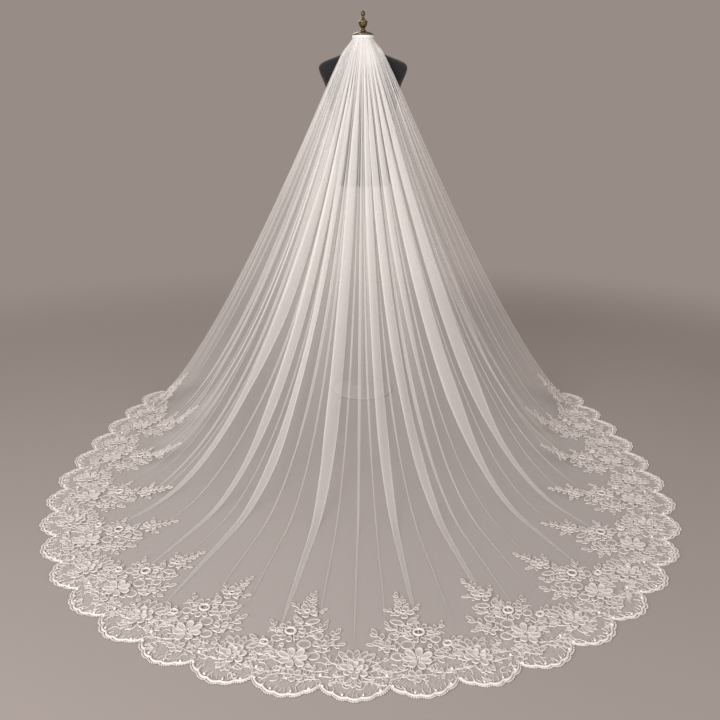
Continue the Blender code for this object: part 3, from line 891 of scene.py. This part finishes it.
def draw_small_cluster(work, chance):
    """A double blossom with a fan of leaves above it and below it."""
    turn = chance.uniform(-8, 8)
    work.add_blossom(0.0, 0.072, 0.060, 9, turn, "leaf", cup=0.0, spread=0.30, fill=0.40)
    work.add_blossom(0.0, 0.070, 0.040, 7, turn + 20.0, lift=0.0022, cup=0.0036, spread=0.37, fill=0.72)
    work.add_blossom(0.0, 0.070, 0.023, 5, turn, lift=0.0050, cup=0.0036, spread=0.44, fill=0.84,
                     start=0.20)
    work.add_stamens(0.0, 0.070, 0.0050, 4, lift=0.0062)
    for heading in (-46.0, -22.0, 0.0, 24.0, 47.0):
        work.add_blade("leaf", 0.0004 * heading, 0.108, heading + turn, 0.044, 0.021, lift=0.0008)
    for heading in (150.0, 180.0, 212.0):
        work.add_blade("leaf", 0.0, 0.040, heading + turn, 0.038, 0.018, lift=0.0008)
    for side in (-1.0, 1.0):
        work.add_sprig(side * 0.040, 0.085, side * 66.0, 0.046, side * -36.0, 3, 0.024)
        work.add_sprig(side * 0.034, 0.045, side * 104.0, 0.050, side * -30.0, 3, 0.019)
        work.add_vine(side * 0.018, 0.118, side * 40.0, 0.050, side * 190.0)


def either_way(chance, least, most):
    return chance.choice((-1.0, 1.0)) * chance.uniform(least, most)


def draw_ground(work, scallop, chance):
    """Curling stems, ticks and seed leaves between the hem's cord and the blossoms."""
    pitch = HEM_LENGTH / SCALLOPS
    at_side = abs(scallop - SCALLOPS // 2) > MIDDLE_SCALLOPS
    sprigs, vines = (4, 5) if at_side else (7, 14)
    for number in range(sprigs):
        u = ((number + chance.uniform(0.1, 0.9)) / sprigs - 0.5) * pitch
        v = chance.uniform(-0.010, 0.100)
        work.add_sprig(u, v, chance.uniform(0, 360), chance.uniform(0.034, 0.058),
                       either_way(chance, 30, 120), 5, 0.013, fill=0.8)
    for _ in range(vines):
        u = chance.uniform(-0.5, 0.5) * pitch
        v = chance.uniform(-0.005, 0.115)
        work.add_vine(u, v, chance.uniform(0, 360), chance.uniform(0.030, 0.055),
                      either_way(chance, 120, 260), width=0.0026)
    for index in range(TICKS_PER_SCALLOP):
        part = (index + 0.5) / TICKS_PER_SCALLOP
        u = (part - 0.5) * pitch
        v = float(hem_line(np.array((scallop + part) / SCALLOPS), -0.006))
        work.add_vine(u, v, chance.uniform(-24, 24), chance.uniform(0.012, 0.024), chance.uniform(-40, 40),
                      width=0.0030)


def hem_line(share, beyond):
    """Inset of the scalloped, finely rippled edge, pushed out by a further distance."""
    waves = np.sin(math.pi * share * SCALLOPS * RIPPLES_PER_SCALLOP)
    ripples = RIPPLE_DEPTH * np.abs(waves) ** 0.8
    return EDGE_INSET - lobe(share) - ripples - beyond


def lay_braid(name, ground, section, beyond, points_per_ripple):
    """Raised braid along the hem."""
    share = np.linspace(0.0, 1.0, SCALLOPS * RIPPLES_PER_SCALLOP * points_per_ripple + 1)
    lines = zip(section["out"], section["height"])
    points = np.stack([ground.place(share, hem_line(share, beyond + out), np.full(len(share), height))
                       for out, height in lines])
    braid = new_mesh_object(name, points, grid_faces(*points.shape[:2]))
    add_attribute(braid, "solid", np.ones(points.shape[:2]))
    add_flat_map(braid, *np.meshgrid(share * HEM_LENGTH, section["out"]))
    return braid


# ---------------------------------------------------------------- material helpers

def set_sockets(node, **values):
    """Sets a node's own sockets by name, with underscores for their spaces."""
    for name, value in values.items():
        node.inputs[name.replace("_", " ")].default_value = value


def new_material(name, **values):
    """Material with its tree and its shader, whose own sockets take these values."""
    material = bpy.data.materials.new(name)
    material.use_nodes = True
    shader = material.node_tree.nodes["Principled BSDF"]
    set_sockets(shader, **values)
    return material, material.node_tree, shader


def add_node(tree, kind, **values):
    node = tree.nodes.new(kind)
    for name, value in values.items():
        setattr(node, name, value)
    return node


def math_node(tree, operation, first, second=None):
    node = add_node(tree, "ShaderNodeMath", operation=operation)
    for socket, value in zip(node.inputs, (first, second)):
        if isinstance(value, (int, float)):
            socket.default_value = value
        elif value is not None:
            tree.links.new(value, socket)
    return node.outputs[0]


def scaled(tree, value, factor, offset):
    """A value times a factor, plus an offset."""
    return math_node(tree, "ADD", math_node(tree, "MULTIPLY", value, factor), offset)


def attribute_value(tree, name):
    return add_node(tree, "ShaderNodeAttribute", attribute_name=name).outputs["Fac"]


def fade_node(tree, value, start, end):
    """Mask that falls from 1 to 0 as a value goes from start to end."""
    fade = add_node(tree, "ShaderNodeMapRange", interpolation_type="SMOOTHSTEP")
    set_sockets(fade, From_Min=start, From_Max=end, To_Min=1.0, To_Max=0.0)
    tree.links.new(value, fade.inputs["Value"])
    return fade.outputs["Result"]


def shade_color(tree, shader, factor, color, shades, stops=(0.3, 0.7)):
    """Base colour that goes through shades of one colour, at these stops of a factor."""
    node = add_node(tree, "ShaderNodeValToRGB")
    ramp = node.color_ramp
    while len(ramp.elements) < len(stops):
        ramp.elements.new(0.5)
    for element, position, shade in zip(ramp.elements, stops, shades):
        element.position = position
        element.color = (*np.multiply(color, shade), 1.0)
    tree.links.new(factor, node.inputs["Fac"])
    tree.links.new(node.outputs["Color"], shader.inputs["Base Color"])


def shader_group(name, scale_name, scale, result):
    """Node group that takes a place and a scale and gives one value, with its inner ends."""
    group = bpy.data.node_groups.new(name, "ShaderNodeTree")
    group.interface.new_socket("Vector", in_out="INPUT", socket_type="NodeSocketVector")
    socket = group.interface.new_socket(scale_name, in_out="INPUT", socket_type="NodeSocketFloat")
    socket.default_value = scale
    group.interface.new_socket(result, in_out="OUTPUT", socket_type="NodeSocketFloat")
    return group, group.nodes.new("NodeGroupInput"), group.nodes.new("NodeGroupOutput")


def thread_group(name):
    """Height of crossed threads."""
    group, start, end = shader_group(name, "Threads per metre", 900.0, "Height")
    split = add_node(group, "ShaderNodeSeparateXYZ")
    group.links.new(start.outputs["Vector"], split.inputs[0])
    waves = []
    for axis in ("X", "Y"):
        turns = math_node(group, "MULTIPLY", split.outputs[axis], start.outputs["Threads per metre"])
        wave = math_node(group, "SINE", math_node(group, "MULTIPLY", turns, 2.0 * math.pi))
        waves.append(math_node(group, "ABSOLUTE", wave))
    group.links.new(math_node(group, "MULTIPLY", *waves), end.inputs["Height"])
    return group


def mottle_group(name):
    """Soft uneven tone in two scales."""
    group, start, end = shader_group(name, "Scale", 20.0, "Value")
    values = []
    for factor, detail, weight in ((1.0, 3.0, 0.65), (6.3, 5.0, 0.35)):
        noise = add_node(group, "ShaderNodeTexNoise")
        set_sockets(noise, Detail=detail)
        group.links.new(start.outputs["Vector"], noise.inputs["Vector"])
        scale = math_node(group, "MULTIPLY", start.outputs["Scale"], factor)
        group.links.new(scale, noise.inputs["Scale"])
        values.append(math_node(group, "MULTIPLY", noise.outputs["Fac"], weight))
    group.links.new(math_node(group, "ADD", *values), end.inputs["Value"])
    return group


GROUP_MAKERS = {"crossed_threads": thread_group, "soft_mottle": mottle_group}


def use_group(tree, name, vector, **values):
    """Places a shared group, made the first time, and returns its value."""
    node = tree.nodes.new("ShaderNodeGroup")
    node.node_tree = bpy.data.node_groups.get(name) or GROUP_MAKERS[name](name)
    tree.links.new(vector, node.inputs["Vector"])
    set_sockets(node, **values)
    return node.outputs[0]


def add_bump(tree, shader, height, strength, distance):
    bump = add_node(tree, "ShaderNodeBump")
    set_sockets(bump, Strength=strength, Distance=distance)
    tree.links.new(height, bump.inputs["Height"])
    tree.links.new(bump.outputs["Normal"], shader.inputs["Normal"])


def mottled_material(name, color, scale, shades, weave=None, **values):
    """Material with an uneven tone, and a weave given by threads, bump strength and depth."""
    material, tree, shader = new_material(name, **values)
    place = add_node(tree, "ShaderNodeTexCoord").outputs["Object"]
    mottle = use_group(tree, "soft_mottle", place, Scale=scale)
    shade_color(tree, shader, mottle, color, shades)
    if weave:
        threads = use_group(tree, "crossed_threads", place, Threads_per_metre=weave[0])
        add_bump(tree, shader, threads, *weave[1:])
    return material, tree, shader, mottle


def tulle_material(settings):
    """Sheer net: each layer lets light through, less so where it turns away or is gathered."""
    material, tree, shader = new_material("tulle", Base_Color=(*settings.tulle_color, 1.0), Roughness=0.75,
                                          Specular_IOR_Level=0.25, Sheen_Weight=0.15)
    facing = add_node(tree, "ShaderNodeLayerWeight")
    set_sockets(facing, Blend=0.5)
    straight = math_node(tree, "SUBTRACT", 1.0, facing.outputs["Facing"])
    straight = math_node(tree, "MAXIMUM", straight, 0.16)
    thickness = math_node(tree, "DIVIDE", attribute_value(tree, "layers"), straight)
    thickness = math_node(tree, "POWER", thickness, 0.85)
    through = math_node(tree, "POWER", 1.0 - settings.tulle_cover, thickness)
    tree.links.new(math_node(tree, "SUBTRACT", 1.0, through), shader.inputs["Alpha"])
    return material


def lace_material(settings):
    """Cotton thread: solid where it is corded, open and stitched where it is filled, with painted shade that
    darkens the filled parts.
    """
    material, tree, shader = new_material("lace", Roughness=0.62, Specular_IOR_Level=0.35, Sheen_Weight=0.25)
    place = add_node(tree, "ShaderNodeTexCoord")
    mottle = use_group(tree, "soft_mottle", place.outputs["Object"], Scale=70.0)
    solid = attribute_value(tree, "solid")
    # Painted shade: where the thread is less solid the colour goes darker and pinker, so the corded rims look
    # lit; the mottle adds uneven tone.
    tone = math_node(tree, "MULTIPLY", solid, scaled(tree, mottle, 0.3, 0.80))
    shade_color(tree, shader, tone, settings.lace_color, ((0.70, 0.66, 0.64), 1.0), stops=(0.40, 0.95))
    threads = use_group(tree, "crossed_threads", place.outputs["UV"], Threads_per_metre=520.0)
    open_work = math_node(tree, "SUBTRACT", 1.0, solid)
    stitched = math_node(tree, "MULTIPLY", open_work, math_node(tree, "SUBTRACT", 0.52, threads))
    limit = add_node(tree, "ShaderNodeClamp")
    tree.links.new(math_node(tree, "ADD", solid, stitched), limit.inputs["Value"])
    tree.links.new(limit.outputs["Result"], shader.inputs["Alpha"])
    add_bump(tree, shader, threads, 0.3, 0.0004)
    return material


def ground_material(settings):
    """Fine irregular net of the lace border, thinning out away from the hem."""
    material, tree, shader = new_material("lace_ground", Base_Color=(*settings.lace_color, 1.0),
                                          Roughness=0.7, Specular_IOR_Level=0.25)
    place = add_node(tree, "ShaderNodeTexCoord")
    masks = []
    for scale, width in ((115.0, 0.16), (52.0, 0.07)):
        cells = add_node(tree, "ShaderNodeTexVoronoi", feature="DISTANCE_TO_EDGE")
        set_sockets(cells, Scale=scale)
        tree.links.new(place.outputs["UV"], cells.inputs["Vector"])
        masks.append(fade_node(tree, cells.outputs["Distance"], 0.4 * width, width))
    mask = math_node(tree, "MAXIMUM", math_node(tree, "MULTIPLY", masks[0], 0.75), masks[1])
    cover = math_node(tree, "MULTIPLY", scaled(tree, mask, 0.34, 0.06), attribute_value(tree, "solid"))
    tree.links.new(cover, shader.inputs["Alpha"])
    return material


def pearl_material(settings):
    return mottled_material("pearl", settings.pearl_color, 160.0, (0.92, 1.0), Roughness=0.22,
                            Coat_Weight=0.6, Coat_Roughness=0.12)[0]


def form_material(settings):
    """Black knitted cover of the torso."""
    return mottled_material("form_cloth", settings.form_color, 30.0, (0.75, 1.35), (650.0, 0.35, 0.0004),
                            Roughness=0.85, Specular_IOR_Level=0.25, Sheen_Weight=0.25,
                            Sheen_Roughness=0.5)[0]


def satin_material(settings):
    return mottled_material("satin", settings.satin_color, 90.0, (0.93, 1.0), (1400.0, 0.2, 0.0002),
                            Roughness=0.42, Sheen_Weight=0.4)[0]


def stand_material(settings):
    """Satin paint of the pole and the base."""
    material, tree, shader, mottle = mottled_material("stand", settings.stand_color, 60.0, (0.92, 1.0))
    tree.links.new(scaled(tree, mottle, 0.2, 0.36), shader.inputs["Roughness"])
    return material


def brass_material(settings):
    """Aged brass: bright where it is rubbed, brown in the hollows."""
    material, tree, shader = new_material("brass", Metallic=1.0)
    place = add_node(tree, "ShaderNodeTexCoord").outputs["Object"]
    mottle = use_group(tree, "soft_mottle", place, Scale=38.0)
    worn = math_node(tree, "MULTIPLY", attribute_value(tree, "worn"), 0.45)
    age = scaled(tree, mottle, 0.7, worn)
    shade_color(tree, shader, age, settings.brass_color, (0.16, 0.55, 1.0), stops=(0.30, 0.52, 0.80))
    rough = math_node(tree, "SUBTRACT", 0.62, math_node(tree, "MULTIPLY", age, 0.42))
    tree.links.new(rough, shader.inputs["Roughness"])
    add_bump(tree, shader, mottle, 0.15, 0.0006)
    return material


def floor_material(settings):
    """Seamless floor that fades into the backdrop at its rim."""
    material, tree, shader = new_material("studio_floor", Base_Color=(*settings.floor_color, 1.0),
                                          Roughness=0.9, Specular_IOR_Level=0.1)
    span = add_node(tree, "ShaderNodeVectorMath", operation="LENGTH")
    tree.links.new(add_node(tree, "ShaderNodeTexCoord").outputs["Object"], span.inputs[0])
    tree.links.new(fade_node(tree, span.outputs["Value"], *FLOOR_FADE), shader.inputs["Alpha"])
    return material


# ---------------------------------------------------------------- settings

class VEIL_PG_settings(bpy.types.PropertyGroup):
    """Sizes and colours that a user would change."""
    tulle_color: FloatVectorProperty(name="Tulle", description="Colour of the net", subtype="COLOR",
                                     size=3, min=0.0, max=1.0, default=(0.90, 0.87, 0.85))
    tulle_cover: FloatProperty(name="Tulle cover", description="Part of the view that one layer hides",
                               min=0.01, max=0.9, default=0.098, subtype="FACTOR")
    lace_color: FloatVectorProperty(name="Lace", description="Colour of the lace thread", subtype="COLOR",
                                    size=3, min=0.0, max=1.0, default=(0.71, 0.66, 0.625))
    pearl_color: FloatVectorProperty(name="Pearls", description="Colour of the pearls", subtype="COLOR",
                                     size=3, min=0.0, max=1.0, default=(0.90, 0.87, 0.84))
    satin_color: FloatVectorProperty(name="Binding", description="Colour of the satin binding",
                                     subtype="COLOR", size=3, min=0.0, max=1.0, default=(0.88, 0.86, 0.84))
    form_color: FloatVectorProperty(name="Form", description="Colour of the dress form's cover",
                                    subtype="COLOR", size=3, min=0.0, max=1.0, default=(0.013, 0.012, 0.013))
    brass_color: FloatVectorProperty(name="Brass", description="Colour of rubbed brass", subtype="COLOR",
                                     size=3, min=0.0, max=1.0, default=(0.27, 0.20, 0.11))
    stand_color: FloatVectorProperty(name="Stand", description="Colour of the stand's paint",
                                     subtype="COLOR", size=3, min=0.0, max=1.0, default=(0.335, 0.298, 0.280))
    floor_color: FloatVectorProperty(name="Floor", description="Colour of the studio floor", subtype="COLOR",
                                     size=3, min=0.0, max=1.0, default=(0.335, 0.296, 0.278))
    turning_steps: IntProperty(name="Turning steps", description="Facets round a turned piece",
                               min=16, max=128, default=64)


# ---------------------------------------------------------------- operators

class VEIL_OT_tulle(bpy.types.Operator):
    """Model the gathered net with its pleats"""
    bl_idname = "veil.tulle"
    bl_label = "Tulle"

    def execute(self, context):
        settings = context.scene.veil_settings
        points, layers, cloth, part = tulle_grid()
        rows, columns = points.shape[:2]
        tulle = new_mesh_object("tulle", points, grid_faces(rows, columns))
        add_attribute(tulle, "layers", layers)
        add_flat_map(tulle, cloth * HEM_LENGTH, np.tile(part[:, None] * CLOTH_LENGTH, (1, columns)))
        finish_piece(tulle, tulle_material(settings), "tulle", "veil_tulle")
        return {"FINISHED"}


class VEIL_OT_lace(bpy.types.Operator):
    """Lay the scalloped lace border, its cords and its pearls"""
    bl_idname = "veil.lace"
    bl_label = "Lace hem"

    def execute(self, context):
        settings = context.scene.veil_settings
        lace = lace_material(settings)
        ground = LaceGround(bpy.data.objects["tulle"])
        shapes = Shapes()
        for scallop in range(SCALLOPS):
            centre = (scallop + 0.5) / SCALLOPS
            chance = random.Random(scallop)
            work = Lacework(shapes)
            size = END_SPRAY_SIZE if scallop in (0, SCALLOPS - 1) else 1.0
            number = scallop // 2 + 1
            if scallop % 2:
                draw_small_cluster(work, chance)
                name, node = f"cluster_{number:02d}", f"blossom_{number:02d}"
            else:
                draw_tall_spray(work, 1.0 if centre >= 0.5 else -1.0, chance)
                name, node = f"tall_spray_{number:02d}", f"spray_{number:02d}"
            finish_piece(work.make(name, ground, centre, size), lace, "lace", node)
        self.lay_border(settings, ground, shapes, lace)
        self.lay_cords(ground, shapes, lace)
        self.lay_pearls(settings, ground, shapes)
        return {"FINISHED"}

    def lay_border(self, settings, ground, shapes, lace):
        """The scalloped net and the vines drawn over it."""
        share = np.linspace(0.0, 1.0, SCALLOPS * BORDER_COLUMNS + 1)
        parts = np.linspace(0.0, 1.0, BORDER_ROWS + 1)[:, None]
        edge = hem_line(share, 0.0)
        inset = edge + parts * (BORDER_DEPTH - edge)
        every = np.broadcast_to(share, inset.shape)
        points = ground.place(every, inset, np.full(inset.shape, -0.0003))
        border = new_mesh_object("lace_net", points, grid_faces(*inset.shape)[:, ::-1])
        wave = BORDER_FADE_WAVE * np.cos(math.pi * every * SCALLOPS)
        add_attribute(border, "solid", 1.0 - smooth((inset - BORDER_FADE_START - wave) / BORDER_FADE))
        add_flat_map(border, every * HEM_LENGTH, inset)
        finish_piece(border, ground_material(settings), "lace", "lace_border")
        for first in range(0, SCALLOPS, VINE_GROUP):
            pieces = []
            for scallop in range(first, min(first + VINE_GROUP, SCALLOPS)):
                work = Lacework(shapes)
                draw_ground(work, scallop, random.Random(100 + scallop))
                pieces.append(work.make(f"vines_{scallop + 1:02d}", ground, (scallop + 0.5) / SCALLOPS))
            finish_piece(join_pieces(pieces, f"vines_{first // VINE_GROUP + 1}"), lace, "lace")

    def lay_cords(self, ground, shapes, lace):
        """The smooth cord, the fine cord outside it and the row of picots."""
        braid = lay_braid("hem_cord", ground, BRAID_SECTION, BRAID_OUT, 8)
        finish_piece(braid, lace, "lace", "hem_braid")
        finish_piece(lay_braid("picot_cord", ground, PICOT_SECTION, PICOT_CORD_OUT, 6), lace, "lace")
        count = SCALLOPS * PICOTS_PER_SCALLOP
        share = (np.arange(count) + 0.5) / count
        places = ground.place(share, hem_line(share, PICOT_OUT), np.full(count, PICOT_LIFT))
        picots, points = bead_row("picots", shapes.seed, places, np.full(count, PICOT_RADIUS))
        add_attribute(picots, "solid", np.ones(len(points)))
        add_flat_map(picots, points[:, 0], points[:, 1])
        finish_piece(picots, lace, "lace")

    def lay_pearls(self, settings, ground, shapes):
        """The seed pearls of every scallop."""
        first = np.arange(SCALLOPS)[:, None]
        share = ((first + PEARLS["part"]) / SCALLOPS).ravel()
        radius = np.tile(PEARLS["radius"], SCALLOPS)
        places = ground.place(share, np.tile(PEARLS["inset"], SCALLOPS), 0.8 * radius)
        pearls, _ = bead_row("pearls", shapes.bead, places, radius)
        finish_piece(pearls, pearl_material(settings), "lace")


def bead_row(name, bead, places, radii):
    """One object of beads at these places, and its points."""
    points, corners = bead
    points = (points * radii[:, None, None] + places[:, None]).reshape(-1, 3)
    steps = len(bead[0]) * np.arange(len(places))[:, None, None]
    return new_mesh_object(name, points, (corners + steps).reshape(-1, 3)), points


def join_pieces(pieces, name):
    """One object made of several."""
    bpy.ops.object.select_all(action="DESELECT")
    for piece in pieces:
        piece.select_set(True)
    bpy.context.view_layer.objects.active = pieces[0]
    bpy.ops.object.join()
    pieces[0].name = name
    pieces[0].select_set(False)
    return pieces[0]


def turned_piece(name, profile, steps):
    """Turned solid from a profile of radius and height, spun round the stand's axis."""
    mesh = bpy.data.meshes.new(name)
    edges = [(index, index + 1) for index in range(len(profile) - 1)]
    mesh.from_pydata([(radius, 0.0, height) for radius, height in profile], edges, [])
    piece = bpy.data.objects.new(name, mesh)
    bpy.context.scene.collection.objects.link(piece)
    edit_all(piece)
    bpy.ops.mesh.spin(steps=steps, angle=2.0 * math.pi, center=(0.0, 0.0, 0.0), axis=(0.0, 0.0, 1.0))
    bpy.ops.mesh.select_all(action="SELECT")
    bpy.ops.mesh.remove_doubles(threshold=0.00002)
    bpy.ops.mesh.normals_make_consistent(inside=False)
    bpy.ops.object.mode_set(mode="OBJECT")
    piece.data.shade_smooth()
    piece.select_set(False)
    return piece


def node_copy(name, node):
    """Merged copy of a CAD node's mesh."""
    piece = bpy.data.objects.new(name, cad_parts[node].data.copy())
    bpy.context.scene.collection.objects.link(piece)
    edit_all(piece)
    bpy.ops.mesh.remove_doubles(threshold=0.00005)
    bpy.ops.mesh.tris_convert_to_quads(face_threshold=0.7, shape_threshold=0.7)
    bpy.ops.object.mode_set(mode="OBJECT")
    piece.select_set(False)
    return piece


class VEIL_OT_binding(bpy.types.Operator):
    """Fold the satin binding over the gathers"""
    bl_idname = "veil.binding"
    bl_label = "Satin binding"

    def execute(self, context):
        settings = context.scene.veil_settings
        binding = node_copy("satin_binding", "top_binding")
        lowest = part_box("top_binding")[0][2]
        for vertex in binding.data.vertices:
            if vertex.co.z < lowest + BINDING_EDGE:
                vertex.co.z -= BINDING_OVERLAP
                vertex.co.x *= BINDING_SPLAY
                vertex.co.y *= BINDING_SPLAY
        bevel = binding.modifiers.new("Fold", "BEVEL")
        bevel.width = BINDING_BEVEL
        bevel.segments = 2
        bevel.limit_method = "ANGLE"
        context.view_layer.objects.active = binding
        bpy.ops.object.modifier_apply(modifier=bevel.name)
        binding.data.shade_smooth()
        finish_piece(binding, satin_material(settings), "satin", "top_binding")
        return {"FINISHED"}


class VEIL_OT_form(bpy.types.Operator):
    """Model the covered torso and paint its stand"""
    bl_idname = "veil.form"
    bl_label = "Dress form"

    def execute(self, context):
        settings = context.scene.veil_settings
        torso = node_copy("torso", "form_torso")
        subdivide = torso.modifiers.new("Round", "SUBSURF")
        subdivide.levels = 2
        subdivide.render_levels = 2
        context.view_layer.objects.active = torso
        bpy.ops.object.modifier_apply(modifier=subdivide.name)
        torso.data.shade_smooth()
        finish_piece(torso, form_material(settings), "form_cloth", "form_torso")
        material = stand_material(settings)
        for node in ("stand_pole", "stand_base"):
            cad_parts[node].data.materials.clear()
            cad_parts[node].data.materials.append(material)
        return {"FINISHED"}


class VEIL_OT_brass(bpy.types.Operator):
    """Turn the neck cap and the finial"""
    bl_idname = "veil.brass"
    bl_label = "Cap and finial"

    def execute(self, context):
        settings = context.scene.veil_settings
        material = brass_material(settings)
        turned = (("brass_cap", "neck_cap", CAP_PROFILE), ("brass_finial", "finial", FINIAL_PROFILE))
        for name, node, profile in turned:
            piece = turned_piece(name, profile, settings.turning_steps)
            radius = np.array([vertex.co.xy.length for vertex in piece.data.vertices])
            add_attribute(piece, "worn", np.clip(radius / radius.max(), 0.0, 1.0))
            finish_piece(piece, material, "brass", node)
        return {"FINISHED"}


class VEIL_OT_stage(bpy.types.Operator):
    """Lay the studio floor and set the lights and the camera"""
    bl_idname = "veil.stage"
    bl_label = "Studio"

    def execute(self, context):
        settings = context.scene.veil_settings
        bpy.ops.object.select_all(action="DESELECT")
        bpy.ops.mesh.primitive_circle_add(vertices=96, radius=FLOOR_RADIUS, fill_type="NGON",
                                          location=FLOOR_CENTRE)
        floor = context.active_object
        floor.name = "studio_floor"
        floor.data.materials.append(floor_material(settings))
        world = bpy.data.worlds.new("studio")
        world.use_nodes = True
        set_sockets(world.node_tree.nodes["Background"], Color=WORLD_COLOR, Strength=1.0)
        context.scene.world = world
        for name, place, aim, size, power in LIGHTS:
            add_softbox(name, place, aim, size, power)
        camera_data = bpy.data.cameras.new("camera")
        camera_data.lens = CAMERA_LENS
        camera_data.sensor_width = CAMERA_SENSOR
        camera = bpy.data.objects.new("camera", camera_data)
        camera.location = CAMERA_PLACE
        camera.rotation_euler = [math.radians(angle) for angle in CAMERA_TURN]
        context.scene.collection.objects.link(camera)
        context.scene.camera = camera
        context.scene.view_settings.view_transform = "Standard"
        context.scene.cycles.transparent_max_bounces = 40
        context.scene.cycles.max_bounces = 6
        return {"FINISHED"}


def add_softbox(name, place, aim, size, power):
    """Square light aimed at a point."""
    data = bpy.data.lights.new(name, "AREA")
    data.shape = "SQUARE"
    data.size = size
    data.energy = power
    light = bpy.data.objects.new(name, data)
    light.location = place
    light.rotation_euler = (Vector(aim) - Vector(place)).to_track_quat("-Z", "Y").to_euler()
    bpy.context.scene.collection.objects.link(light)


# ---------------------------------------------------------------- add-on

class VEIL_PT_panel(bpy.types.Panel):
    """Veil tools in the 3D view's sidebar"""
    bl_label = "Bridal veil"
    bl_idname = "VEIL_PT_panel"
    bl_space_type = "VIEW_3D"
    bl_region_type = "UI"
    bl_category = "Veil"

    def draw(self, context):
        for name in VEIL_PG_settings.__annotations__:
            self.layout.prop(context.scene.veil_settings, name)
        for operator in OPERATORS:
            self.layout.operator(operator.bl_idname)


OPERATORS = (VEIL_OT_stage, VEIL_OT_tulle, VEIL_OT_lace, VEIL_OT_binding, VEIL_OT_form, VEIL_OT_brass)
CLASSES = (VEIL_PG_settings, *OPERATORS, VEIL_PT_panel)


def register():
    for cls in CLASSES:
        bpy.utils.register_class(cls)
    bpy.types.Scene.veil_settings = PointerProperty(type=VEIL_PG_settings)


def unregister():
    del bpy.types.Scene.veil_settings
    for cls in reversed(CLASSES):
        bpy.utils.unregister_class(cls)


def main():
    register()
    bpy.ops.veil.stage()
    bpy.ops.veil.tulle()
    bpy.ops.veil.lace()
    bpy.ops.veil.binding()
    bpy.ops.veil.form()
    bpy.ops.veil.brass()


if __name__ == "__main__":
    main()
